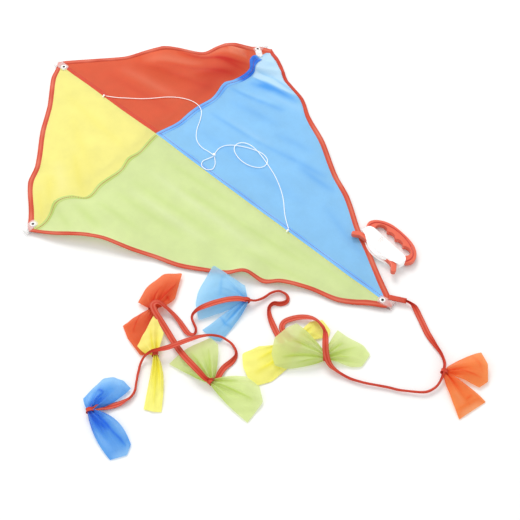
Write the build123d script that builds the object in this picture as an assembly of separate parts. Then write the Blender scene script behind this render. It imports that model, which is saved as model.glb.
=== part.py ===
from build123d import *
import math
import os

# A four-panel diamond kite lying face up on the floor, with its frame, bridle, bow tail and line winder.
# Millimetres. Origin: centre of the cross fitting's flat underside. +Y runs to the nose, +X to the right
# wing, +Z up out of the face of the sail.

os.makedirs("parts", exist_ok=True)

# Sail outline: a diamond whose four corners are cut blunt for the corner pockets
NOSE_Y = 254.0
TAIL_Y = -549.0
WING_X = 297.0
WING_Y = -8.0
BLUNT = 7.0
SAIL_THICK = 0.6
EDGE_Z = 5.6
PEAK_Z = 9.0
BINDING_WIDTH = 8.0
BINDING_WALL = 0.4
WING_CUT_X = 262.0
CORNER_GAP = 0.6

# Rods, their end caps and the cross fitting
ROD_R = 1.5
CAP_R = 1.9
CAP_WALL_END = 1.5
CAP_LENGTH = 9.0
CAP_ROUNDING = 0.9
ROD_Z = 2.5
SPAR_RISE = 3.3
ROD_CLEARANCE = 0.05
SPINE_NOSE_END = 250.0
SPINE_TAIL_END = -545.0
SPAR_HALF = 291.0
FITTING_LENGTH = 24.0
FITTING_WIDTH = 9.0
FITTING_TOP = 7.9
FITTING_FILLET = 0.8

# Corner pockets: clear strips folded round each corner, each held by one eyelet
POCKET_WIDTH = 12.0
POCKET_WALL = 0.5
POCKET_TOP = 7.2
POCKET_REACH = 4.5
POCKET_INNER = 8.0
NOSE_EYELET_Y = 236.0
TAIL_EYELET_Y = -530.0
WING_EYELET_X = 280.0
EYELET_HOLE_R = 2.25
EYELET_TUBE_R = 2.7
EYELET_PASS_R = 2.8
EYELET_FLANGE_R = 5.1
EYELET_BACK_R = 4.2
EYELET_BOTTOM = 4.8
EYELET_TOP = 7.8
EYELET_BACK_THICK = 0.4

# Bridle string
STRING_R = 0.6
STRING_LIFT = 1.0
TIE_NOSE_Y = 126.0
TIE_TAIL_Y = -326.0
TIE_HALF_WIDTH = 2.6
TIE_THICK = 0.9
TIE_ROD_GAP = 0.05
TIE_CORNER_R = 1.4
TIE_HOLE_R = 1.1
TIE_KNOB_R = 1.7
KNOT_R = 2.6
KNOT_XY = (34.0, -122.0)

# Tail ribbon
RIBBON_R = 2.0
ANCHOR_START = (14.0, -538.5)
ANCHOR_END = (28.0, -557.0)
ANCHOR_WIDTH = 10.0
ANCHOR_Z = 6.7
ANCHOR_THICK = 1.6

# Line winder, drawn in its own plane: U along the grip, V from the horned bar to the grip
WINDER_AT = (66.0, -464.0)
WINDER_TURN = math.radians(8.6)
WINDER_TILT = math.radians(7.0)
WINDER_THICK = 8.0
WINDER_BAR_Z = 11.7
WINDER_EDGE = 1.5
GRIP_SHOULDER_U = 53.0
GRIP_SHOULDER_V = 35.0
GRIP_HAUNCH_INSET = 14.0
GRIP_HAUNCH_V = 53.0
GRIP_FOOT_INSET = 7.0
GRIP_CROWN_V = 61.5
CHORD_LOW_V = 18.0
GAP_LOW_V = 26.0
GAP_HALF_U = 38.0
GAP_TOP_V = 42.0
GAP_CORNER_R = 6.0
FINGERS = 4
FINGER_PITCH = 19.0
FINGER_R = 10.5
FINGER_V = 36.0
STRUT_U = 34.0
STRUT_WIDTH = 8.0
STRUT_LOW_V = 2.0
STRUT_HIGH_V = 22.0
HORN_R = 4.5
# Centreline of the horned bar, from its left tip to its right one
BAR_LINE = [(-49, -7), (-42, 0.5), (-32, 3), (32, 3), (40, 0.5), (47, -7)]
WINDING_HALF_U = 46.0
WINDING_LOW_V = 5.0
WINDING_HIGH_V = 23.5
WINDING_HALF_THICK = 9.0
WINDING_ROUNDING = 6.0

# Radius of a cord's corner as a share of its shorter run
CORNER_SHARE = 0.45


def sail_bottom(x, y):
    """Height of the sail's underside: four flat panels rising to a peak over the cross fitting."""
    along = (NOSE_Y - WING_Y) if y > WING_Y else (WING_Y - TAIL_Y)
    share = abs(x) / WING_X + abs(y - WING_Y) / along
    return PEAK_Z - (PEAK_Z - EDGE_Z) * min(share, 1.0)


def outline(inset):
    """The sail's eight-sided outline, moved in by inset."""
    nose = NOSE_Y - inset
    tail = TAIL_Y + inset
    wing = WING_X - inset
    return [
        (BLUNT, nose),
        (wing, WING_Y + BLUNT),
        (wing, WING_Y - BLUNT),
        (BLUNT, tail),
        (-BLUNT, tail),
        (-wing, WING_Y - BLUNT),
        (-wing, WING_Y + BLUNT),
        (-BLUNT, nose),
    ]


def slab(points, low, high):
    """A flat polygon filled between two heights."""
    face = make_face(Polyline(*points, close=True))
    return Pos(0, 0, low) * extrude(face, high - low)


def zone(x0, y0, x1, y1):
    """A tall block between two plan corners, for trimming."""
    high = 40.0
    return Pos((x0 + x1) / 2, (y0 + y1) / 2, 0) * Box(abs(x1 - x0), abs(y1 - y0), high)


def eyelet_places():
    """The plan position of every eyelet."""
    return [
        (0.0, NOSE_EYELET_Y),
        (0.0, TAIL_EYELET_Y),
        (WING_EYELET_X, 0.0),
        (-WING_EYELET_X, 0.0),
    ]


def pierced(solid):
    """The solid with a passage for every eyelet's tube."""
    for x, y in eyelet_places():
        solid = solid - Pos(x, y, 0) * Cylinder(EYELET_PASS_R, 60)
    return solid


def panel(side, end_y):
    """One triangular sail panel, side -1 left or +1 right, sloping down from the peak to nose or tail."""
    inset = BINDING_WALL
    wing = side * (WING_X - inset)
    end = end_y - math.copysign(inset, end_y)
    step = math.copysign(BLUNT, end_y)
    corners = [(0, WING_Y), (wing, WING_Y), (wing, WING_Y + step), (side * BLUNT, end), (0, end)]
    flat = slab(corners, EDGE_Z - 1, PEAK_Z + 2)
    peak = Vector(0, WING_Y, PEAK_Z)
    at_wing = Vector(side * WING_X, WING_Y, EDGE_Z)
    at_end = Vector(0, end_y, EDGE_Z)
    # The slope's own triangle is drawn twice as large as the panel, so that it covers the blunt corners
    wide = [peak, peak + (at_wing - peak) * 2, peak + (at_end - peak) * 2]
    slope = make_face(Polyline(*wide, close=True))
    sheet = extrude(slope, SAIL_THICK, dir=(0, 0, 1))
    sheet = sheet & flat
    sheet = sheet - zone(side * WING_CUT_X, -100, side * (WING_X + 20), 100)
    for tie_y in (TIE_NOSE_Y, TIE_TAIL_Y):
        for x in (-TIE_HALF_WIDTH, TIE_HALF_WIDTH):
            sheet = sheet - Pos(x, tie_y, 0) * Cylinder(TIE_HOLE_R, 60)
    return pierced(sheet)


def binding_band():
    """The binding tape all round, as one closed band that the sail's edge sits inside."""
    low = EDGE_Z - BINDING_WALL
    high = EDGE_Z + SAIL_THICK + BINDING_WALL
    rim = make_face(Polyline(*outline(0), close=True))
    inner = offset(rim, amount=-BINDING_WIDTH)
    return Pos(0, 0, low) * extrude(rim - inner, high - low)


def binding(side, end_y, panel_solid):
    """One side of the binding tape, from the nose or the tail to the wing corner."""
    far = math.copysign(700, end_y)
    quarter = zone(0, WING_Y, side * WING_CUT_X, WING_Y + far)
    return pierced((binding_band() & quarter) - panel_solid)


def corner_sail(side):
    """The sail's corner at one wing, held by that wing's pocket."""
    wing = side * (WING_X - BINDING_WALL)
    x0 = side * (WING_CUT_X + CORNER_GAP)
    edge_sheet = slab(outline(BINDING_WALL), EDGE_Z, EDGE_Z + SAIL_THICK)
    piece = edge_sheet & zone(x0, -100, wing, 100)
    return pierced(piece)


def corner_binding(side, sail_solid):
    """The binding tape round one wing corner."""
    x0 = side * (WING_CUT_X + CORNER_GAP)
    piece = binding_band() & zone(x0, -100, side * (WING_X + 5), 100)
    return pierced(piece - sail_solid)


def pocket_outline(inner, tip):
    """The folded strip's side view: the strip under the rod, round the corner and back over the sail."""
    r = POCKET_TOP / 2
    outer = make_face(
        Polyline((inner, 0), (tip - r, 0))
        + ThreePointArc((tip - r, 0), (tip, r), (tip - r, POCKET_TOP))
        + Polyline((tip - r, POCKET_TOP), (inner, POCKET_TOP), (inner, 0))
    )
    r_in = r - POCKET_WALL
    roof = POCKET_TOP - POCKET_WALL
    hollow = make_face(
        Polyline((inner - 1, POCKET_WALL), (tip - r, POCKET_WALL))
        + ThreePointArc((tip - r, POCKET_WALL), (tip - r + r_in, r), (tip - r, roof))
        + Polyline((tip - r, roof), (inner - 1, roof), (inner - 1, POCKET_WALL))
    )
    return outer - hollow


def pocket(eyelet, edge, angle):
    """A clear pocket from behind its eyelet to just past the sail's edge, turned by angle from +X."""
    side_view = pocket_outline(eyelet - POCKET_INNER, edge + POCKET_REACH)
    strip = extrude(Plane.XZ * side_view, POCKET_WIDTH / 2, both=True)
    upper_hole = Pos(eyelet, 0, POCKET_TOP) * Cylinder(EYELET_PASS_R, 3)
    return Rot(0, 0, angle) * (strip - upper_hole)


def eyelet(x, y):
    """A rolled ring eyelet: face flange, tube and back flange."""
    height = EYELET_TOP - EYELET_BOTTOM
    middle = (EYELET_TOP + EYELET_BOTTOM) / 2
    flange = EYELET_TOP - POCKET_TOP
    body = Pos(0, 0, middle) * Cylinder(EYELET_TUBE_R, height)
    body += Pos(0, 0, EYELET_TOP - flange / 2) * Cylinder(EYELET_FLANGE_R, flange)
    body += Pos(0, 0, EYELET_BOTTOM + EYELET_BACK_THICK / 2) * Cylinder(EYELET_BACK_R, EYELET_BACK_THICK)
    body -= Pos(0, 0, middle) * Cylinder(EYELET_HOLE_R, height + 2)
    return Pos(x, y, 0) * body


def spar_radius():
    """Radius of the cross spar's bow, from its half length and its rise at the middle."""
    return (SPAR_HALF**2 + SPAR_RISE**2) / (2 * SPAR_RISE)


def bowed(radius, x0, x1):
    """A round bar along the cross spar's bow between two stations along X."""
    bow = spar_radius()
    centre_z = ROD_Z + SPAR_RISE - bow

    def at(x):
        return (x, 0, centre_z + math.sqrt(bow**2 - x**2))

    path = ThreePointArc(at(x0), at((x0 + x1) / 2), at(x1))
    section = Plane(origin=path @ 0, z_dir=path % 0) * Circle(radius)
    return sweep(section, path=path)


def spine_rod():
    """The straight rod from nose to tail."""
    length = SPINE_NOSE_END - SPINE_TAIL_END
    middle = (SPINE_NOSE_END + SPINE_TAIL_END) / 2
    return Pos(0, middle, ROD_Z) * Rot(90, 0, 0) * Cylinder(ROD_R, length)


def spine_cap(end_y):
    """A soft cap over one end of the spine rod."""
    out = math.copysign(1, end_y)
    tip = end_y + out * CAP_WALL_END
    middle = tip - out * CAP_LENGTH / 2
    cap = Pos(0, middle, ROD_Z) * Rot(90, 0, 0) * Cylinder(CAP_R, CAP_LENGTH)
    end = cap.faces().sort_by(Axis.Y)[-1 if out > 0 else 0]
    return fillet(end.edges(), CAP_ROUNDING) - spine_rod()


def cross_spar():
    """The bowed rod from wing to wing, passing over the spine."""
    return bowed(ROD_R, -SPAR_HALF, SPAR_HALF)


def spar_cap(side, spar):
    """A soft cap over one end of the cross spar."""
    tip = SPAR_HALF + CAP_WALL_END
    middle = tip - CAP_LENGTH / 2
    cap = Pos(side * middle, 0, ROD_Z) * Rot(0, 90, 0) * Cylinder(CAP_R, CAP_LENGTH)
    end = cap.faces().sort_by(Axis.X)[-1 if side > 0 else 0]
    return fillet(end.edges(), CAP_ROUNDING) - spar


def cross_fitting():
    """The moulded cross that grips the spine below and the spar above, with a flat underside."""
    low = Pos(0, 0, FITTING_TOP / 2) * Box(FITTING_LENGTH, FITTING_WIDTH, FITTING_TOP)
    high = Pos(0, 0, FITTING_TOP / 2) * Box(FITTING_WIDTH, FITTING_LENGTH, FITTING_TOP)
    body = low + high
    body = fillet(body.edges().filter_by(Axis.Z), FITTING_FILLET)
    bore = ROD_R + ROD_CLEARANCE
    body -= Pos(0, 0, ROD_Z) * Rot(90, 0, 0) * Cylinder(bore, FITTING_LENGTH + 4)
    body -= Pos(0, 0, ROD_Z + SPAR_RISE) * Rot(0, 90, 0) * Cylinder(bore, FITTING_LENGTH + 4)
    return body


def corner_radii(points):
    """A radius for each corner of a route, as large as its two runs allow."""
    radii = []
    for before, here, after in zip(points, points[1:], points[2:]):
        run_in = Vector(*here) - Vector(*before)
        run_out = Vector(*after) - Vector(*here)
        half_turn = math.radians(run_in.get_angle(run_out)) / 2
        shorter = min(run_in.length, run_out.length)
        radii.append(CORNER_SHARE * shorter / math.tan(half_turn))
    return radii


def cord_tube(name, points, radius):
    """A plain tube along straight runs joined by tangent arcs."""
    radii = corner_radii(points)
    path = FilletPolyline(*points, radius=radii)
    section = Plane(origin=path @ 0, z_dir=path % 0) * Circle(radius)
    tube = sweep(section, path=path)
    share = tube.volume / (math.pi * radius**2 * path.length)
    print(name, "length", round(path.length, 1), "volume share", round(share, 4))
    return tube


# Plan positions of the bridle's front leg, from its tie on the spine to the knot
BRIDLE_FRONT = [
    (3, 123), (12, 107), (26, 91), (40, 73), (58, 56), (77, 39), (93, 17), (102, -8), (97, -31),
    (78, -46), (56, -57), (38, -73), (32, -93), (35, -110), (34, -119.5),
]
# The tow loop, out of the knot and back
TOW_LOOP = [
    (31.5, -122), (22, -119), (11, -115), (2, -121), (1, -133), (9, -142), (20, -138), (28, -130),
    (32.5, -124),
]
# The rear leg, out of the knot, round its one loose curl and on to the tie near the tail
BRIDLE_REAR = [
    (36, -120.5), (48, -116), (61, -117), (73, -126), (83, -143), (91, -163), (96, -185), (88, -203),
    (71, -204), (59, -187), (57, -164), (63, -143), (75, -132), (89, -136), (95, -154), (91, -178),
    (83, -205), (72, -234), (58, -258), (43, -278), (24, -297), (12, -312), (4, -324),
]
# Where the rear leg rises over itself: index of the point and its extra height
BRIDLE_HUMPS = {11: 1.6, 12: 1.6, 14: 1.6, 15: 1.6}


def on_sail(points, humps=None):
    """Plan points laid on top of the sail, some of them raised over a crossing."""
    raised = humps or {}
    rest = SAIL_THICK + STRING_R + STRING_LIFT
    return [(x, y, sail_bottom(x, y) + rest + raised.get(i, 0)) for i, (x, y) in enumerate(points)]


def bridle_tie(y):
    """The string's two turns round the spine, through the sail, with their knot on the face."""
    low = ROD_Z - ROD_R - TIE_ROD_GAP - TIE_THICK
    high = sail_bottom(0, y) + SAIL_THICK + TIE_ROD_GAP + TIE_THICK
    width = 2 * TIE_HALF_WIDTH + TIE_THICK
    outer = RectangleRounded(width, high - low, TIE_CORNER_R)
    inner = RectangleRounded(width - 2 * TIE_THICK, high - low - 2 * TIE_THICK, TIE_CORNER_R - TIE_THICK / 2)
    turns = extrude(Plane.XZ * (outer - inner), TIE_THICK, both=True)
    knob = Pos(0, 0, (high - low) / 2 + TIE_KNOB_R * 0.4) * Sphere(TIE_KNOB_R)
    return Pos(0, y, (high + low) / 2) * (turns + knob)


def bridle_knot():
    """The knot that gathers both legs and the tow loop."""
    z = sail_bottom(*KNOT_XY) + SAIL_THICK + 0.2 + KNOT_R
    return Pos(*KNOT_XY, z) * Sphere(KNOT_R)


# The tail ribbon's route: sewn to the tail corner, then from bow to bow
TAIL_ROUTE = [
    (28, -557, 7.5), (34, -565, 6.2), (33, -577, 4), (24, -591, 2.3), (12, -605, 2.3), (1, -621, 2.3),
    (-6, -639, 2.3), (-12, -657, 4), (-22, -672, 8), (-38, -682, 12), (-54, -689, 8), (-71, -689, 3),
    (-86, -682, 2.3), (-97, -667, 2.3), (-108, -651, 2.3), (-117, -632, 2.3), (-129, -614, 2.3),
    (-139, -595, 2.3), (-146, -575, 2.3), (-149, -557, 5), (-149, -543, 11), (-142, -530, 21),
    (-131, -520, 29), (-119, -510, 26), (-110, -500, 17), (-104, -488, 11), (-101, -473, 9),
    (-109, -458, 8), (-123, -445, 5), (-136, -438, 2.4), (-147, -443, 2.3), (-152, -456, 2.4),
    (-152, -472, 3.5), (-153, -484, 4.5), (-161, -489, 4.5), (-168, -480, 3.5), (-167, -464, 2.4),
    (-160, -447, 2.3), (-152, -430, 2.3), (-143, -413, 2.3), (-133, -402, 2.3), (-121, -402, 2.3),
    (-115, -413, 2.3), (-104, -418, 2.3), (-95, -410, 2.3), (-96, -397, 2.3), (-108, -388, 2.3),
    (-124, -386, 2.3), (-138, -381, 4), (-149, -374, 11), (-158, -363, 18), (-171, -352, 19),
    (-187, -342, 19), (-204, -332, 17), (-220, -325, 12), (-231, -326, 6), (-236, -337, 2.6),
    (-241, -348, 2.3), (-250, -352, 2.3), (-255, -343, 2.3), (-251, -328, 2.3), (-247, -312, 2.8),
    (-245, -296, 5), (-247, -281, 11), (-250, -270, 17), (-260, -267, 18), (-266, -279, 16),
    (-270, -297, 12), (-275, -316, 7), (-281, -335, 2.8), (-287, -354, 2.6), (-292, -373, 8),
    (-295, -392, 14), (-297, -411, 15), (-298, -426, 14), (-289, -435, 11), (-276, -430, 6),
    (-260, -425, 2.6), (-244, -428, 2.3), (-230, -424, 2.3), (-222, -411, 2.3), (-222, -396, 4),
    (-227, -382, 9), (-239, -372, 14), (-255, -364, 16), (-271, -356, 14), (-286, -349, 10),
    (-299, -343, 12), (-311, -335, 16), (-321, -326, 14), (-333, -323, 8), (-345, -327, 3),
    (-357, -335, 2.3), (-369, -344, 2.3), (-381, -354, 2.3), (-394, -358, 2.3), (-408, -354, 2.3),
    (-422, -347, 2.8), (-436, -338, 7), (-448, -330, 12),
]


def ribbon_anchor():
    """The ribbon's doubled end, stitched on top of the binding at the tail corner."""
    start = Vector(*ANCHOR_START, 0)
    end = Vector(*ANCHOR_END, 0)
    run = end - start
    middle = (start + end) * 0.5
    turn = math.degrees(math.atan2(run.Y, run.X))
    pad = Box(run.length, ANCHOR_WIDTH, ANCHOR_THICK)
    return Pos(middle.X, middle.Y, ANCHOR_Z + ANCHOR_THICK / 2) * Rot(0, 0, turn) * pad


# Each bow is a gathered rectangle of cloth: its lobes' outlines, each with the heights it fills
BOWS = {
    "bow_1_red": [
        ([(-42, -688), (-34, -676), (-16, -674), (29, -704), (12, -726), (-8, -743), (-26, -726)], 0.2, 14),
        ([(-44, -680), (-28, -690), (-26, -726), (-34, -759), (-85, -747), (-66, -712)], 0.2, 12),
    ],
    "bow_2_green": [
        ([(-148, -540), (-193, -507), (-204, -484), (-190, -466), (-170, -452), (-148, -452), (-124, -460),
          (-122, -515)], 8.0, 26),
        ([(-138, -548), (-150, -530), (-128, -512), (-98, -512), (-90, -530), (-84, -560), (-92, -580),
          (-118, -584)], 0.2, 24),
    ],
    "bow_3_yellow": [
        ([(-152, -490), (-160, -470), (-195, -441), (-221, -432), (-236, -448), (-243, -466), (-226, -491),
          (-195, -498)], 0.2, 7),
        ([(-160, -478), (-120, -470), (-92, -482), (-97, -502), (-108, -508), (-150, -492)], 0.2, 7),
    ],
    "bow_4_blue": [
        ([(-160, -362), (-148, -372), (-131, -351), (-137, -286), (-191, -302), (-209, -313), (-226, -337),
          (-179, -366)], 7.8, 17),
        ([(-150, -364), (-158, -382), (-231, -391), (-236, -377), (-230, -355), (-172, -362)], 0.2, 15),
    ],
    "bow_5_red": [
        ([(-262, -262), (-248, -276), (-222, -281), (-204, -269), (-180, -256), (-203, -236), (-241, -232),
          (-268, -241)], 0.2, 15),
        ([(-252, -266), (-262, -280), (-272, -306), (-311, -328), (-333, -316), (-325, -278), (-314, -254),
          (-266, -258)], 0.2, 6),
    ],
    "bow_6_green": [
        ([(-302, -428), (-288, -436), (-257, -416), (-238, -393), (-240, -376), (-278, -361), (-307, -359)],
         0.2, 12),
        ([(-304, -432), (-290, -426), (-269, -440), (-255, -466), (-251, -490), (-266, -511), (-304, -516),
          (-311, -490)], 0.2, 18),
    ],
    "bow_7_yellow": [
        ([(-322, -336), (-304, -334), (-283, -317), (-268, -281), (-326, -301)], 6.6, 14),
        ([(-324, -328), (-306, -332), (-314, -350), (-330, -371), (-351, -393), (-379, -408), (-394, -385),
          (-342, -348)], 6.6, 14),
        ([(-322, -350), (-330, -371), (-351, -393), (-379, -408), (-394, -385), (-342, -352)], 0.2, 14),
    ],
    "bow_8_blue": [
        ([(-458, -334), (-450, -318), (-445, -306), (-402, -305), (-388, -316), (-382, -347), (-401, -352),
          (-440, -336)], 0.2, 14),
        ([(-448, -326), (-460, -334), (-476, -355), (-486, -409), (-463, -422), (-447, -414), (-431, -369),
          (-440, -340)], 0.2, 16),
    ],
}


def bow(lobes):
    """One bow: the union of its lobes."""
    solid = slab(*lobes[0])
    for lobe in lobes[1:]:
        solid += slab(*lobe)
    return solid


def winder_plane():
    """The winder's own plane: X along the grip towards the tail, Y out to the grip, Z up out of the plane."""
    along = Vector(-math.sin(WINDER_TURN), -math.cos(WINDER_TURN), 0)
    out = Vector(math.cos(WINDER_TURN), -math.sin(WINDER_TURN), 0)
    out = out * math.cos(WINDER_TILT) - Vector(0, 0, math.sin(WINDER_TILT))
    return Plane(origin=(*WINDER_AT, WINDER_BAR_Z), x_dir=along, z_dir=along.cross(out))


def grip_face():
    """The closed D: an arched grip with finger hollows, standing on a straight chord."""
    shoulder = GRIP_SHOULDER_U
    foot = shoulder - GRIP_FOOT_INSET
    haunch = shoulder - GRIP_HAUNCH_INSET
    arch = Spline(
        (-foot, CHORD_LOW_V),
        (-shoulder, GRIP_SHOULDER_V),
        (-haunch, GRIP_HAUNCH_V),
        (0, GRIP_CROWN_V),
        (haunch, GRIP_HAUNCH_V),
        (shoulder, GRIP_SHOULDER_V),
        (foot, CHORD_LOW_V),
    )
    face = make_face(arch + Line(arch @ 1, arch @ 0))
    gap_height = GAP_TOP_V - GAP_LOW_V
    gap = Pos(0, GAP_LOW_V + gap_height / 2) * RectangleRounded(2 * GAP_HALF_U, gap_height, GAP_CORNER_R)
    for k in range(FINGERS):
        gap += Pos((k - (FINGERS - 1) / 2) * FINGER_PITCH, FINGER_V) * Circle(FINGER_R)
    return face - gap


def horned_bar_face():
    """The bar opposite the grip, its two ends bent outward into horns."""
    bar = trace(Polyline(*BAR_LINE), 2 * HORN_R)
    for tip in (BAR_LINE[0], BAR_LINE[-1]):
        bar += Pos(*tip) * Circle(HORN_R)
    return bar


def winder_body():
    """The moulded winder: grip, two struts and horned bar in one piece."""
    face = grip_face() + horned_bar_face()
    for u in (-STRUT_U, STRUT_U):
        face += Pos(u, (STRUT_LOW_V + STRUT_HIGH_V) / 2) * Rectangle(STRUT_WIDTH, STRUT_HIGH_V - STRUT_LOW_V)
    body = extrude(face, WINDER_THICK / 2, both=True)
    rims = [edge for flat in body.faces().filter_by(Axis.Z) for edge in flat.outer_wire().edges()]
    return winder_plane().location * fillet(rims, WINDER_EDGE)


def winding(body):
    """The outer shape of the flying line wound lengthwise over the struts."""
    across = WINDING_HIGH_V - WINDING_LOW_V
    middle_v = (WINDING_HIGH_V + WINDING_LOW_V) / 2
    lump = extrude(SlotOverall(2 * WINDING_HALF_U, across), WINDING_HALF_THICK, both=True)
    ends = lump.faces().filter_by(Axis.Z)
    lump = Pos(0, middle_v, 0) * fillet(ends.edges(), WINDING_ROUNDING)
    return winder_plane().location * lump - body


def write(name, solid):
    export_step(solid, f"parts/{name}.step")


def main():
    write("spine_rod", spine_rod())
    spar = cross_spar()
    write("cross_spar", spar)
    write("centre_cross_fitting", cross_fitting())
    write("spine_cap_nose", spine_cap(SPINE_NOSE_END))
    write("spine_cap_tail", spine_cap(SPINE_TAIL_END))
    write("spar_cap_left", spar_cap(-1, spar))
    write("spar_cap_right", spar_cap(1, spar))

    quarters = {
        "red": (1, NOSE_Y, "nose_right"),
        "yellow": (-1, NOSE_Y, "nose_left"),
        "green": (-1, TAIL_Y, "tail_left"),
        "blue": (1, TAIL_Y, "tail_right"),
    }
    for colour, (side, end_y, where) in quarters.items():
        sheet = panel(side, end_y)
        write(f"sail_panel_{colour}", sheet)
        write(f"binding_{where}", binding(side, end_y, sheet))
    for side, where in ((-1, "left"), (1, "right")):
        patch = corner_sail(side)
        write(f"sail_corner_{where}", patch)
        write(f"binding_corner_{where}", corner_binding(side, patch))

    write("pocket_nose", pocket(NOSE_EYELET_Y, NOSE_Y, 90))
    write("pocket_tail", pocket(-TAIL_EYELET_Y, -TAIL_Y, -90))
    write("pocket_right_wing", pocket(WING_EYELET_X, WING_X, 0))
    write("pocket_left_wing", pocket(WING_EYELET_X, WING_X, 180))
    for place, (x, y) in zip(("nose", "tail", "right_wing", "left_wing"), eyelet_places()):
        write(f"eyelet_{place}", eyelet(x, y))

    knot = bridle_knot()
    write("bridle_knot", knot)
    write("bridle_front_leg", cord_tube("bridle_front_leg", on_sail(BRIDLE_FRONT), STRING_R) - knot)
    write("bridle_tow_loop", cord_tube("bridle_tow_loop", on_sail(TOW_LOOP), STRING_R) - knot)
    rear = cord_tube("bridle_rear_leg", on_sail(BRIDLE_REAR, BRIDLE_HUMPS), STRING_R)
    write("bridle_rear_leg", rear - knot)
    write("bridle_tie_nose", bridle_tie(TIE_NOSE_Y))
    write("bridle_tie_tail", bridle_tie(TIE_TAIL_Y))

    write("tail_ribbon_anchor", ribbon_anchor())
    write("tail_ribbon", cord_tube("tail_ribbon", TAIL_ROUTE, RIBBON_R))
    for name, lobes in BOWS.items():
        write(name, bow(lobes))

    body = winder_body()
    write("winder_body", body)
    write("flying_line_winding", winding(body))


main()
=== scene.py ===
"""A four-panel diamond kite lying face up on a white floor, with its bridle, bow tail and line winder."""
import math

import bmesh
import bpy
import numpy as np
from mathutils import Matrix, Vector
from mathutils.bvhtree import BVHTree


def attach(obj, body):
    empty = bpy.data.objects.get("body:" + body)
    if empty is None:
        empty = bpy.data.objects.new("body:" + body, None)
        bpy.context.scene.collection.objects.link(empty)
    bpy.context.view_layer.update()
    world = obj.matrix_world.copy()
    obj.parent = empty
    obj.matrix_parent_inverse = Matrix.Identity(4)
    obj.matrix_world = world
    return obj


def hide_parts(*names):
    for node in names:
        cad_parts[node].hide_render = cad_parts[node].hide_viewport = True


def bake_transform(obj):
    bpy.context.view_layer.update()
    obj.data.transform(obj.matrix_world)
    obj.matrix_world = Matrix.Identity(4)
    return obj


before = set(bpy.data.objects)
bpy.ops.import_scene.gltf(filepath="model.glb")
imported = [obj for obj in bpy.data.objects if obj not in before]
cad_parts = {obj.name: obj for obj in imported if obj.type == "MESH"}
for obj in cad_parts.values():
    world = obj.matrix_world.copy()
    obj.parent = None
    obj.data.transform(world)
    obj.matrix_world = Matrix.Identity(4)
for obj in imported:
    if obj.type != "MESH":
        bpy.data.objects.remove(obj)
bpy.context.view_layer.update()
MM = 0.001
RNG = np.random.default_rng(11)

# ---------------------------------------------------------------- camera, floor and light

CAMERA_AT = (-0.8333, -1.0267, 1.5003)
LOOK_AT = (-0.0719, -0.3286, 0.0)
LENS_MM = 76.15


def aimed(obj, at, target):
    """Puts an object at a place with its -Z axis towards a target."""
    obj.location = at
    obj.rotation_euler = (Vector(target) - Vector(at)).to_track_quat("-Z", "Y").to_euler()
    bpy.context.collection.objects.link(obj)
    return obj


camera = bpy.data.cameras.new("camera")
camera.lens = LENS_MM
camera.sensor_width = 36
camera.clip_end = 20
bpy.context.scene.camera = aimed(bpy.data.objects.new("camera", camera), CAMERA_AT, LOOK_AT)


def area_light(name, at, target, size, watts, colour=(1, 1, 1)):
    light = bpy.data.lights.new(name, "AREA")
    light.size = size
    light.energy = watts
    light.color = colour
    return aimed(bpy.data.objects.new(name, light), at, target)


LIT_PLACE = (-0.05, -0.25, 0)
area_light("key", (1.1, 1.6, 2.6), LIT_PLACE, 1.6, 52, (1.0, 0.99, 0.97))
area_light("fill", (-2.2, 0.6, 2.2), LIT_PLACE, 2.0, 12)

SKY_STRENGTH = 0.83
world = bpy.data.worlds.new("studio")
world.use_nodes = True
sky = world.node_tree.nodes["Background"].inputs
sky["Color"].default_value = (1, 1, 1, 1)
sky["Strength"].default_value = SKY_STRENGTH
bpy.context.scene.world = world
bpy.context.scene.view_settings.view_transform = "Standard"

# ---------------------------------------------------------------- materials


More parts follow.
